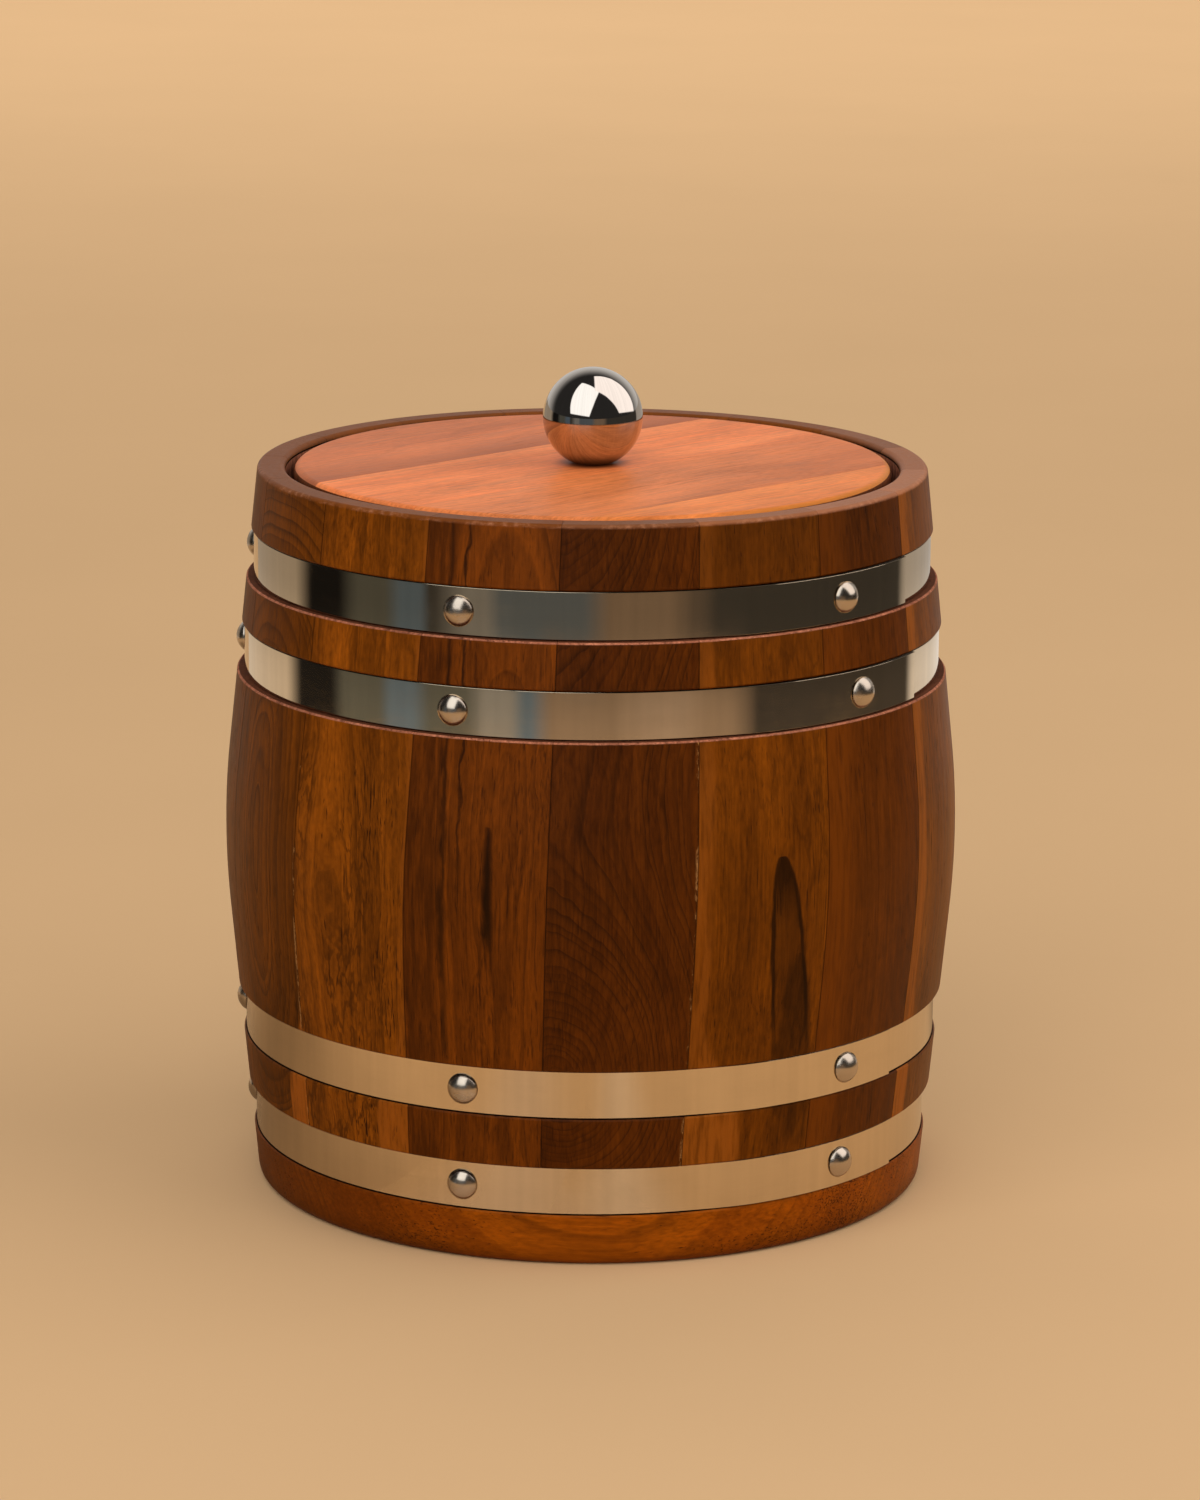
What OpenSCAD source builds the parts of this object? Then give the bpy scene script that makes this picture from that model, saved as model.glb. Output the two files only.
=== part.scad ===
// Wooden ice bucket in the form of a small barrel.
// Glued staves on a base board make the barrel, four steel hoops are nailed round it,
// a steel liner stands inside it, and a lid with a ball knob lies inside the rim.
// Millimetres. The origin is the middle of the foot, +Z is up and the front faces -Y.
// A turn is an angle in degrees seen from above, counted from the front to the right.

/* [Barrel] */
// Height of the barrel from the foot to the rim
barrel_h = 185.4; // [150:0.1:240]
// Outside diameter at the rim
rim_d = 170; // [130:1:240]
// How far the belly stands out beyond the rim
belly_swell = 8.8; // [4:0.1:16]
// Height of the belly's widest line above the foot
belly_z = 92.4; // [70:0.1:110]
// Height over which the staves bend, both above and below the widest line
belly_bend_h = 21; // [6:1:40]
// How far the foot stands out beyond the rim
foot_swell = 0.9; // [0:0.1:5]
// Thickness of the wall at the rim
rim_wall = 7.1; // [5:0.1:12]
// Rounding of the rim's outer edge
rim_outer_round = 1.2; // [0.3:0.1:2.2]
// Rounding of the rim's inner edge
rim_inner_round = 1.6; // [0.3:0.1:2.4]
// Rounding of the foot's lower edge
foot_round = 2.5; // [0.5:0.1:4]

/* [Staves] */
// Number of staves round the barrel
stave_count = 16; // [9:1:20]
// Turn of the first seam
seam_turn = 16; // [0:0.5:24]
// Width of a glue line between two pieces of wood
glue_line = 0.05; // [0.02:0.01:0.15]

/* [Base board] */
// How far the foot hoop reaches down over the joint of staves and base board
base_joint_cover = 1.2; // [0.6:0.1:2.5]
// Height of the spigot that stands up inside the staves
spigot_h = 6; // [3:0.5:12]
// Radial clearance between the spigot and the staves
spigot_fit = 0.1; // [0.05:0.01:0.3]

/* [Hoops] */
// Width of the hoop strip
strip_w = 11.8; // [8:0.2:15]
// Thickness of the hoop strip
strip_t = 0.8; // [0.5:0.05:1.2]
// Middle of the rim hoop below the rim
rim_hoop_drop = 22.1; // [15:0.1:30]
// From the middle of the rim hoop down to the middle of the upper hoop
upper_hoop_pitch = 24; // [18:0.1:32]
// Middle of the foot hoop above the foot
foot_hoop_rise = 19.3; // [15:0.1:28]
// From the middle of the foot hoop up to the middle of the lower hoop
lower_hoop_pitch = 25.3; // [18:0.1:32]
// How far a hoop lies below the wood at its narrow edge
hoop_recess = 0.6; // [0.2:0.05:1.2]
// Radial clearance between a hoop and the bottom of its groove
hoop_fit = 0.05; // [0.03:0.01:0.2]
// Gap between a hoop's edges and the sides of its groove
groove_gap = 0.25; // [0.1:0.05:0.5]
// Chamfer of the groove's lips
groove_lip = 0.4; // [0.1:0.05:0.6]
// Gap between the two layers of the strip at the lap
lap_gap = 0.05; // [0.03:0.01:0.2]
// Turn of the strip's free end, from the rim hoop down to the foot hoop
lap_end_turns = [63.5, 64, 57, 60.5]; // [57:0.5:75]
// Angle from the lap nail back to the strip's buried end
lap_tail = 15; // [8:0.5:24]
// Angle over which the strip climbs on to its own end
lap_climb = 13; // [6:0.5:20]

/* [Nails] */
// Turn of the nail through the lap, from the rim hoop down to the foot hoop
lap_nail_turns = [45.5, 48, 45.2, 45.8]; // [40:0.1:54]
// Turn of the nail left of the front, from the rim hoop down to the foot hoop
front_nail_turns = [-21.9, -22.2, -20.4, -21.1]; // [-35:0.1:-10]
// Turn of the nail at the left side, from the rim hoop down to the foot hoop
left_nail_turns = [-94.4, -92.5, -90.6, -92]; // [-105:0.1:-80]
// Number of nails in a hoop
nail_count = 5; // [3:1:8]
// Diameter of the nail's head
nail_head_d = 7.8; // [5:0.1:8]
// Height of the nail's domed head
nail_head_h = 2.5; // [1.2:0.1:3]
// Diameter of the nail's shank
nail_shank_d = 2; // [1.4:0.1:2.6]
// Length of the nail's point
nail_point_l = 1.6; // [0.8:0.1:2]
// Wood left between the nail's point and the bore of the barrel
nail_cover = 1.2; // [0.6:0.1:2]
// Radial clearance of the shank in the strip
nail_strip_fit = 0.1; // [0.05:0.01:0.2]
// Radial clearance of the shank in the wood
nail_wood_fit = 0.03; // [0.01:0.01:0.1]
// Gap under the nail's head
nail_seat_fit = 0.03; // [0.01:0.01:0.1]

/* [Liner] */
// Wall of the steel liner
liner_wall = 0.8; // [0.5:0.05:1.2]
// Outside rounding between the liner's floor and its wall
liner_corner_r = 10; // [4:0.5:20]
// Diameter of the rolled bead round the liner's mouth
bead_d = 3.6; // [2.8:0.1:5]
// Angle through which the bead is rolled
bead_roll = 285; // [240:5:300]
// Radial clearance between the bead and the bore of the barrel
liner_fit = 0.4; // [0.3:0.05:0.8]
// Gap between the liner's floor and the spigot it stands on
liner_seat_gap = 0.2; // [0.1:0.05:0.4]

/* [Lid] */
// Thickness of the lid
lid_t = 12; // [9:0.5:18]
// How far the lid's top lies below the rim
lid_drop = 0; // [0:0.1:3]
// Gap between the lid's edge and the bore of the barrel
lid_gap = 2.1; // [1:0.1:3]
// Gap between the lid and the liner's bead that carries it
lid_seat_gap = 0.3; // [0.1:0.05:0.5]
// Rounding of the lid's upper edge
lid_top_round = 2; // [0.5:0.1:3]
// Rounding of the lid's lower edge
lid_under_round = 1; // [0.3:0.1:2]
// Width of the lid's board that holds the knob
lid_board_w = 40; // [28:1:55]
// Width of the board in front of it
lid_front_board_w = 40; // [28:1:55]
// Distance of the first board joint from the lid's middle
lid_joint_shift = 27; // [20:1:34]
// Direction of the lid's grain, counted from the right towards the back
lid_grain_turn = 45; // [0:1:90]

/* [Knob] */
// Diameter of the ball knob
knob_d = 25.4; // [18:0.2:36]
// Diameter of the flat that the ball stands on
knob_seat_d = 9.3; // [7:0.1:14]
// Gap between the ball and the lid
knob_seat_fit = 0.03; // [0.01:0.01:0.1]
// Diameter of the screw's shank
screw_d = 4; // [3:0.1:5]
// How far the screw reaches into the ball
screw_grip = 9; // [5:0.5:12]
// Room left in the ball beyond the screw's end
screw_end_gap = 1; // [0.5:0.1:2]
// Radial clearance of the screw in the ball
screw_thread_fit = 0.03; // [0.01:0.01:0.08]
// Radial clearance of the screw in the lid and in the washer
screw_hole_fit = 0.25; // [0.1:0.05:0.5]
// Diameter of the screw's head
screw_head_d = 8; // [6.5:0.1:9]
// Height of the screw's head
screw_head_h = 2.4; // [1.8:0.1:3]
// Rounding of the screw's head
screw_head_round = 0.8; // [0.2:0.1:1.2]
// Width of the driver slots in the screw's head
screw_slot_w = 1.1; // [0.6:0.1:1.6]
// Length of the driver slots in the screw's head
screw_slot_l = 4.6; // [3:0.1:5.5]
// Depth of the driver slots in the screw's head
screw_slot_h = 1.3; // [0.6:0.1:1.6]
// Diameter of the washer
washer_d = 10; // [9:0.1:14]
// Thickness of the washer
washer_t = 0.8; // [0.5:0.1:1.5]
// Gap between the washer and what it is clamped against
washer_fit = 0.02; // [0.01:0.01:0.1]
// Radial room round the washer in the lid's counterbore
counterbore_room = 0.6; // [0.3:0.1:1.5]
// How far the screw's head lies inside the lid's underside
screw_sink = 0.6; // [0.2:0.1:1.5]

/* [Hidden] */
$fn = 96;
// Overshoot of a cut past the surface that it opens
cut_over = 2;
// Steps of a small rounding, of the belly's bend and of the bead
round_steps = 5;
bend_steps = 6;
bead_steps = 24;
// Angle between two points along a hoop strip
strip_step = 2;
// Narrowest board that the lid still gets at its front edge
lid_board_least = 6;

// Barrel
rim_r = rim_d / 2;
belly_r = rim_r + belly_swell;
foot_r = rim_r + foot_swell;
bore_r = rim_r - rim_wall;
stave_turn = 360 / stave_count;
glue_turn = glue_line / bore_r * 180 / PI;

// Hoops, counted from 0 at the rim to 3 at the foot
hoop_names = ["rim_hoop", "upper_hoop", "lower_hoop", "foot_hoop"];
hoop_zs = [
    barrel_h - rim_hoop_drop,
    barrel_h - rim_hoop_drop - upper_hoop_pitch,
    foot_hoop_rise + lower_hoop_pitch,
    foot_hoop_rise
];
hoops = [0 : len(hoop_zs) - 1];
hoop_rs = [for (z = hoop_zs) min(wood_r(z - strip_w / 2), wood_r(z + strip_w / 2)) - hoop_recess];
groove_rs = [for (r = hoop_rs) r - strip_t - hoop_fit];
lap_rise = strip_t + lap_gap;

// Base board and staves
base_joint_z = foot_hoop_rise - strip_w / 2 + base_joint_cover;
stave_z = base_joint_z + glue_line;
spigot_r = bore_r - spigot_fit;
spigot_top_z = base_joint_z + spigot_h;

// Nails: the point stays inside the thinnest wall behind a hoop
nail_l = min([for (r = groove_rs) r - bore_r]) - nail_cover;
nail_dome_r = (pow(nail_head_d / 2, 2) + pow(nail_head_h, 2)) / (2 * nail_head_h);

// Lid and liner
lid_r = bore_r - lid_gap;
lid_top_z = barrel_h - lid_drop;
lid_under_z = lid_top_z - lid_t;
lid_joint_ys = [
    for (y = [0, -lid_board_w, -lid_board_w - lid_front_board_w])
        if (lid_joint_shift + y > lid_board_least - lid_r) lid_joint_shift + y
];
lid_board_count = len(lid_joint_ys) + 1;
liner_r = bore_r - liner_fit - (bead_d - liner_wall);
liner_z = spigot_top_z + liner_seat_gap;
bead_z = lid_under_z - lid_seat_gap - bead_d / 2;
bead_x = liner_r - liner_wall + bead_d / 2;

// Knob and its screw
knob_z = lid_top_z + sqrt(pow(knob_d / 2, 2) - pow(knob_seat_d / 2, 2));
washer_top_z = lid_under_z + screw_sink + screw_head_h + washer_t + washer_fit;
counterbore_z = washer_top_z + washer_fit;
counterbore_r = washer_d / 2 + counterbore_room;
screw_hole_r = screw_d / 2 + screw_hole_fit;
screw_end_z = lid_top_z + screw_grip;

function stave_name(i) = str("stave_", i < 10 ? "0" : "", i);
function nails_name(h) = str(hoop_names[h], "_nails");
function lid_board_name(k) = str("lid_board_", k);

// How far the outline has fallen back from the belly at a distance along its height:
// a bend at first, then straight to the end, where it has fallen by the whole drop
function outline_fall(distance, reach, drop) =
    let (bend = min(belly_bend_h, reach), slope = drop / (reach - bend / 2))
    distance < bend ? slope * distance * distance / (2 * bend) : slope * (distance - bend / 2);

// Outside radius of the turned wood at a height
function wood_r(z) =
    z > belly_z
        ? belly_r - outline_fall(z - belly_z, barrel_h - belly_z, belly_r - rim_r)
        : belly_r - outline_fall(belly_z - z, belly_z, belly_r - foot_r);

// Points of the bend that lie between two heights
function bend_points(low, high) = [
    for (i = [-bend_steps : bend_steps])
        let (z = belly_z + belly_bend_h * i / bend_steps)
        if (z > low && z < high) [wood_r(z), z]
];

function arc_points(centre, r, from, sweep, steps) = [
    for (i = [0 : steps])
        let (a = from + sweep * i / steps)
        centre + r * [cos(a), sin(a)]
];

// Arc that rounds the corner b of an outline that comes from a and goes on to c
function corner_points(a, b, c, r) =
    let (
        u = (a - b) / norm(a - b),
        v = (c - b) / norm(c - b),
        half = acos(u * v) / 2,
        centre = b + (u + v) / norm(u + v) * r / sin(half),
        start = b + u * r / tan(half) - centre,
        end = b + v * r / tan(half) - centre,
        from = atan2(start.y, start.x),
        turn = atan2(end.y, end.x) - from,
        sweep = turn > 180 ? turn - 360 : turn < -180 ? turn + 360 : turn
    )
    arc_points(centre, r, from, sweep, round_steps);

// Turns of a hoop's nails: the one through the lap, the one left of the front, the one
// at the left side, and the others spread evenly from there round the back
function nail_turn(h, n) =
    let (free = 360 - (lap_nail_turns[h] - left_nail_turns[h]))
    n == 0 ? lap_nail_turns[h]
    : n == 1 ? front_nail_turns[h]
    : left_nail_turns[h] - (n - 2) * free / (nail_count - 2);

function nail_seat_r(h, n) = hoop_rs[h] + nail_seat_fit + (n == 0 ? lap_rise : 0);

// Angle between two turns, whichever way is shorter
function turn_apart(a, b) = abs(((a - b + 540) % 360 + 360) % 360 - 180);

function smooth_step(t) = let (u = max(0, min(1, t))) u * u * (3 - 2 * u);

// Places a child that points along +X at a turn
module at_turn(turn) {
    rotate([0, 0, turn - 90]) children();
}

// Places a child that points along +Z where a nail goes, with its seat at z = 0
module at_nail(h, n) {
    at_turn(nail_turn(h, n))
        translate([nail_seat_r(h, n), 0, hoop_zs[h]])
            rotate([0, 90, 0]) children();
}

// Sections of the four grooves, with chamfered lips
module groove_sections() {
    for (h = hoops) {
        low = hoop_zs[h] - strip_w / 2 - groove_gap;
        high = hoop_zs[h] + strip_w / 2 + groove_gap;
        flare = groove_lip + cut_over;
        polygon([
            [groove_rs[h], low],
            [wood_r(low) - groove_lip, low],
            [wood_r(low) + cut_over, low - flare],
            [belly_r + cut_over, low - flare],
            [belly_r + cut_over, high + flare],
            [wood_r(high) + cut_over, high + flare],
            [wood_r(high) - groove_lip, high],
            [groove_rs[h], high]
        ]);
    }
}

module stave_section() {
    rim_corner = [rim_r, barrel_h];
    bore_corner = [bore_r, barrel_h];
    difference() {
        polygon(concat(
            [[bore_r, stave_z], [wood_r(stave_z), stave_z]],
            bend_points(stave_z, barrel_h - rim_outer_round),
            corner_points([wood_r(hoop_zs[0]), hoop_zs[0]], rim_corner, bore_corner, rim_outer_round),
            corner_points(rim_corner, bore_corner, [bore_r, stave_z], rim_inner_round)
        ));
        groove_sections();
    }
}

// One stave between two seams, with the holes of the nails that it holds
module stave(i) {
    from = seam_turn + (i - 1) * stave_turn;
    hole_r = nail_shank_d / 2 + nail_wood_fit;
    hole_turn = hole_r / bore_r * 180 / PI;
    color(["sienna", "saddlebrown", "peru"][i % 3])
        difference() {
            at_turn(from + glue_turn / 2)
                rotate_extrude(angle = stave_turn - glue_turn) stave_section();
            for (h = hoops, n = [0 : nail_count - 1])
                if (turn_apart(nail_turn(h, n), from + stave_turn / 2) < stave_turn / 2 + hole_turn)
                    at_nail(h, n)
                        translate([0, 0, groove_rs[h] - nail_seat_r(h, n) - nail_l])
                            cylinder(r = hole_r, h = nail_l + cut_over);
        }
}

// Turned disc with a spigot that the staves are glued round
module base_board() {
    joint = [wood_r(base_joint_z), base_joint_z];
    color("chocolate")
        rotate_extrude() difference() {
            polygon(concat(
                [[0, 0]],
                corner_points([0, 0], [foot_r, 0], joint, foot_round),
                bend_points(foot_round, base_joint_z),
                [joint, [spigot_r, base_joint_z], [spigot_r, spigot_top_z], [0, spigot_top_z]]
            ));
            groove_sections();
        }
}

// Radius of the strip's inner side at a turn along its way round the barrel
function strip_r(h, turn, climb_from) =
    hoop_rs[h] - strip_t + lap_rise * smooth_step((turn - climb_from) / lap_climb);

// One strip round the barrel, from its buried end to its free end, which laps over it
module hoop(h) {
    buried = lap_nail_turns[h] - lap_tail;
    climb_from = buried + 360 - lap_climb - strip_step;
    free = lap_end_turns[h] + 360;
    steps = ceil((free - buried) / strip_step);
    turns = [for (i = [0 : steps]) buried + (free - buried) * i / steps];
    inner = [for (t = turns) strip_r(h, t, climb_from) * [sin(t), -cos(t)]];
    outer = [for (t = turns) (strip_r(h, t, climb_from) + strip_t) * [sin(t), -cos(t)]];
    color("silver")
        difference() {
            translate([0, 0, hoop_zs[h] - strip_w / 2])
                linear_extrude(strip_w)
                    polygon(concat(outer, [for (i = [steps : -1 : 0]) inner[i]]));
            for (n = [0 : nail_count - 1])
                at_nail(h, n)
                    translate([0, 0, -2 * lap_rise - cut_over])
                        cylinder(r = nail_shank_d / 2 + nail_strip_fit, h = 2 * (lap_rise + cut_over));
        }
}

// Dome-headed nail with its seat at z = 0, pointing down
module nail(shank_l) {
    rotate_extrude()
        intersection() {
            translate([0, nail_head_h - nail_dome_r]) circle(r = nail_dome_r);
            square([nail_head_d, nail_head_h + cut_over]);
        }
    rotate_extrude()
        polygon([
            [0, -shank_l],
            [nail_shank_d / 2, nail_point_l - shank_l],
            [nail_shank_d / 2, nail_head_h / 2],
            [0, nail_head_h / 2]
        ]);
}

module hoop_nails(h) {
    color("lightgray")
        for (n = [0 : nail_count - 1])
            at_nail(h, n) nail(nail_seat_r(h, n) - groove_rs[h] + nail_l);
}

// Drawn cup with a rolled bead round its mouth
module liner() {
    corner = [liner_r - liner_corner_r, liner_z + liner_corner_r];
    bead = [bead_x, bead_z];
    color("gainsboro")
        rotate_extrude()
            polygon(concat(
                [[0, liner_z]],
                arc_points(corner, liner_corner_r, -90, 90, round_steps),
                arc_points(bead, bead_d / 2 - liner_wall, 180, -bead_roll, bead_steps),
                arc_points(bead, bead_d / 2, 180 - bead_roll, bead_roll, bead_steps),
                arc_points(corner, liner_corner_r - liner_wall, 0, -90, round_steps),
                [[0, liner_z + liner_wall]]
            ));
}

// The lid before it is parted into boards
module lid_blank() {
    under = [lid_r, lid_under_z];
    top = [lid_r, lid_top_z];
    rotate_extrude()
        polygon(concat(
            [[0, lid_under_z]],
            corner_points([0, lid_under_z], under, top, lid_under_round),
            corner_points(under, top, [0, lid_top_z], lid_top_round),
            [[0, lid_top_z]]
        ));
}

// Hole for the knob's screw, with a counterbore for its head and washer
module lid_screw_hole() {
    translate([0, 0, lid_under_z - cut_over]) cylinder(r = screw_hole_r, h = lid_t + 2 * cut_over);
    translate([0, 0, lid_under_z - cut_over])
        cylinder(r = counterbore_r, h = counterbore_z - lid_under_z + cut_over);
}

// One board of the lid, between two joints that run with the grain
module lid_board(k) {
    reach = lid_r + cut_over;
    low = k == lid_board_count ? -reach : lid_joint_ys[k - 1] + glue_line;
    high = k == 1 ? reach : lid_joint_ys[k - 2];
    color(["rosybrown", "sandybrown", "peru", "sandybrown"][(k - 1) % 4])
        difference() {
            intersection() {
                lid_blank();
                rotate([0, 0, lid_grain_turn])
                    translate([-reach, low, lid_under_z - cut_over])
                        cube([2 * reach, high - low, lid_t + 2 * cut_over]);
            }
            lid_screw_hole();
        }
}

// Ball with a flat to stand on and a blind hole for the screw
module knob() {
    seat_z = lid_top_z + knob_seat_fit;
    color("white")
        difference() {
            translate([0, 0, knob_z]) sphere(d = knob_d);
            translate([-knob_d / 2, -knob_d / 2, seat_z - knob_d])
                cube([knob_d, knob_d, knob_d]);
            translate([0, 0, seat_z - cut_over])
                cylinder(
                    r = screw_d / 2 + screw_thread_fit,
                    h = screw_end_z + screw_end_gap - seat_z + cut_over
                );
        }
}

// Pan-head screw, put in from below
module knob_screw() {
    low = lid_under_z + screw_sink;
    high = low + screw_head_h;
    rim = screw_head_d / 2;
    color("silver")
        difference() {
            union() {
                rotate_extrude()
                    polygon(concat(
                        [[0, low]],
                        corner_points([0, low], [rim, low], [rim, high], screw_head_round),
                        [[rim, high], [0, high]]
                    ));
                translate([0, 0, high - screw_head_h / 4])
                    cylinder(d = screw_d, h = screw_end_z - high + screw_head_h / 4);
            }
            for (turn = [0, 90])
                rotate([0, 0, turn])
                    translate([-screw_slot_l / 2, -screw_slot_w / 2, low - cut_over])
                        cube([screw_slot_l, screw_slot_w, screw_slot_h + cut_over]);
        }
}

module knob_washer() {
    color("silver")
        translate([0, 0, washer_top_z - washer_t])
            difference() {
                cylinder(d = washer_d, h = washer_t);
                translate([0, 0, -cut_over]) cylinder(r = screw_hole_r, h = washer_t + 2 * cut_over);
            }
}

for (i = [1 : stave_count]) stave(i);
base_board();
for (h = hoops) hoop(h);
for (h = hoops) hoop_nails(h);
liner();
for (k = [1 : lid_board_count]) lid_board(k);
knob();
knob_screw();
knob_washer();
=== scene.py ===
from math import acos, atan2, cos, pi, radians, sin, sqrt, tan

import bpy
from mathutils import Matrix, Vector


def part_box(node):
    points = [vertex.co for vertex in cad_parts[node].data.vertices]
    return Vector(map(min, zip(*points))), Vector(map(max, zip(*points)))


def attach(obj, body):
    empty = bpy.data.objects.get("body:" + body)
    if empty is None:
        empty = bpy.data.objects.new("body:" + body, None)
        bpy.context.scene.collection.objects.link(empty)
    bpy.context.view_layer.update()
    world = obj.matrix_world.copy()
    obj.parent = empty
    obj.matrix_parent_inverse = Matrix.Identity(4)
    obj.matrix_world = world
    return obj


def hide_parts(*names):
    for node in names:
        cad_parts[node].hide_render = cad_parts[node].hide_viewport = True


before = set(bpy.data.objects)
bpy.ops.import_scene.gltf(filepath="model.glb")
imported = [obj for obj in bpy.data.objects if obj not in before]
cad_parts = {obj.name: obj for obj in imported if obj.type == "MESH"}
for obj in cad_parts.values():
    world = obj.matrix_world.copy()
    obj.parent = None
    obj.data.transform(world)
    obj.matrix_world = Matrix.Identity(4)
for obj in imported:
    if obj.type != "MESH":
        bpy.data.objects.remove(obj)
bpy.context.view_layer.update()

mm = 0.001  # sizes below are millimetres, Blender works in metres


# A turn is an angle in degrees seen from above, counted from the front (-Y) to the right
def atTurn(radius, turn, z):
    return Vector((radius * sin(radians(turn)), -radius * cos(radians(turn)), z)) * mm


def deselectAll():
    if bpy.context.mode != "OBJECT":
        bpy.ops.object.mode_set(mode="OBJECT")
    bpy.ops.object.select_all(action="DESELECT")


# Draws a line through (radius, z) points in the plane of the front
def drawOutline(name, outline):
    deselectAll()
    bpy.ops.mesh.primitive_plane_add(size=mm)
    piece = bpy.context.object
    piece.name = piece.data.name = name
    bpy.ops.object.mode_set(mode="EDIT")
    bpy.ops.mesh.merge(type="CENTER")  # the plane shrinks to one vertex, which is the pen
    points = [Vector((0, -radius, z)) * mm for radius, z in outline]
    bpy.ops.transform.translate(value=points[0])
    for here, there in zip(points, points[1:]):
        bpy.ops.mesh.extrude_vertices_move(TRANSFORM_OT_translate={"value": there - here})
    bpy.ops.mesh.select_all(action="SELECT")
    return piece


def spinSelected(steps, angle=360):  # spin turns clockwise seen from above, so the axis points down
    bpy.ops.mesh.spin(steps=steps, angle=radians(angle), center=(0, 0, 0), axis=(0, 0, -1))


def closeMesh():
    bpy.ops.mesh.select_all(action="SELECT")
    bpy.ops.mesh.remove_doubles(threshold=0.001 * mm)
    bpy.ops.mesh.normals_make_consistent(inside=False)
    bpy.ops.object.mode_set(mode="OBJECT")


def applyModifier(piece, kind, **settings):
    bpy.ops.object.modifier_add(type=kind)
    modifier = piece.modifiers[-1]
    for name, value in settings.items():
        setattr(modifier, name, value)
    bpy.ops.object.modifier_apply(modifier=modifier.name)


def softenEdges(piece, width, segments=2, limit=50):
    applyModifier(piece, "BEVEL", width=width * mm, segments=segments, limit_method="ANGLE",
                  angle_limit=radians(limit))


# Smooth shading in which the large faces keep their own direction
def smoothFaces(piece, angle=35):
    bpy.ops.object.shade_smooth_by_angle(angle=radians(angle))
    applyModifier(piece, "WEIGHTED_NORMAL", keep_sharp=True)


def copyOf(piece, name):
    deselectAll()
    piece.select_set(True)
    bpy.context.view_layer.objects.active = piece
    bpy.ops.object.duplicate(linked=False)
    twin = bpy.context.object
    twin.name = twin.data.name = name
    return twin


def putDown(piece, matrix):
    piece.matrix_world = matrix
    bpy.ops.object.transform_apply(location=True, rotation=True, scale=True)


def discard(piece):
    mesh = piece.data
    bpy.data.objects.remove(piece)
    bpy.data.meshes.remove(mesh)


def dress(piece, *materials):
    piece.data.materials.clear()
    for material in materials:
        piece.data.materials.append(material)


def standFor(piece, node, body):
    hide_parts(node)
    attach(piece, body)


# Arc that rounds the corner b of an outline that comes from a and goes on to c
def roundCorner(a, b, c, radius, steps=6):
    a, b, c = Vector(a), Vector(b), Vector(c)
    u, v = (a - b).normalized(), (c - b).normalized()
    half = acos(u.dot(v)) / 2
    centre = b + (u + v).normalized() * radius / sin(half)
    start, end = b + u * radius / tan(half) - centre, b + v * radius / tan(half) - centre
    first = atan2(start.y, start.x)
    sweep = (atan2(end.y, end.x) - first + pi) % (2 * pi) - pi
    return arcPoints(centre, radius, first, sweep, steps)


def arcPoints(centre, radius, first, sweep, steps):
    angles = [first + sweep * i / steps for i in range(steps + 1)]
    return [(centre[0] + radius * cos(a), centre[1] + radius * sin(a)) for a in angles]


# Shader helpers
def tint(red, green, blue):
    levels = [level / 255 for level in (red, green, blue)]
    return [v / 12.92 if v <= 0.04045 else ((v + 0.055) / 1.055) ** 2.4 for v in levels] + [1]


def feed(tree, socket, value):
    if isinstance(value, bpy.types.NodeSocket):
        tree.links.new(value, socket)
    else:
        socket.default_value = value


def put(tree, kind, sockets=None, **settings):
    node = tree.nodes.new("ShaderNode" + kind)
    for name, value in settings.items():
        setattr(node, name, value)
    for name, value in (sockets or {}).items():
        feed(tree, node.inputs[name], value)
    return node


def calc(tree, operation, *values, clamp=False):
    node = put(tree, "Math", operation=operation, use_clamp=clamp)
    for socket, value in zip(node.inputs, values):
        feed(tree, socket, value)
    return node.outputs[0]


def times(tree, a, b):
    return calc(tree, "MULTIPLY", a, b)


def plus(tree, a, b, clamp=False):
    return calc(tree, "ADD", a, b, clamp=clamp)


def minus(tree, a, b):
    return calc(tree, "SUBTRACT", a, b)


# Length of a slope with these two sides
def slopeOf(tree, a, b):
    return calc(tree, "SQRT", plus(tree, times(tree, a, a), times(tree, b, b)))


def calcVector(tree, operation, *values):
    node = put(tree, "VectorMath", operation=operation)
    for socket, value in zip(node.inputs, values):
        feed(tree, socket, value)
    return node.outputs["Vector"]


def stretchBy(tree, vector, amount):
    return put(tree, "VectorMath", {"Vector": vector, "Scale": amount}, operation="SCALE").outputs["Vector"]


def lengthOf(tree, vector):
    return put(tree, "VectorMath", {"Vector": vector}, operation="LENGTH").outputs["Value"]


def dotOf(tree, a, b):
    return put(tree, "VectorMath", {0: a, 1: b}, operation="DOT_PRODUCT").outputs["Value"]


def split(tree, vector):
    return put(tree, "SeparateXYZ", {"Vector": vector}).outputs


def noiseOf(tree, place, stretch, seed, detail=2.0, roughness=0.5):
    stretched = calcVector(tree, "MULTIPLY", place, stretch)
    sockets = {"Vector": stretched, "W": seed, "Scale": 1.0, "Detail": detail, "Roughness": roughness}
    return put(tree, "TexNoise", sockets, noise_dimensions="4D").outputs


# 0 below low, 1 above high
def rise(tree, value, low, high):
    sockets = {"Value": value, "From Min": low, "From Max": high}
    return put(tree, "MapRange", sockets, interpolation_type="SMOOTHSTEP").outputs["Result"]


def mixColour(tree, share, under, over):
    node = put(tree, "Mix", data_type="RGBA")
    for index, value in ((0, share), (6, under), (7, over)):
        feed(tree, node.inputs[index], value)
    return node.outputs[2]


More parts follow.
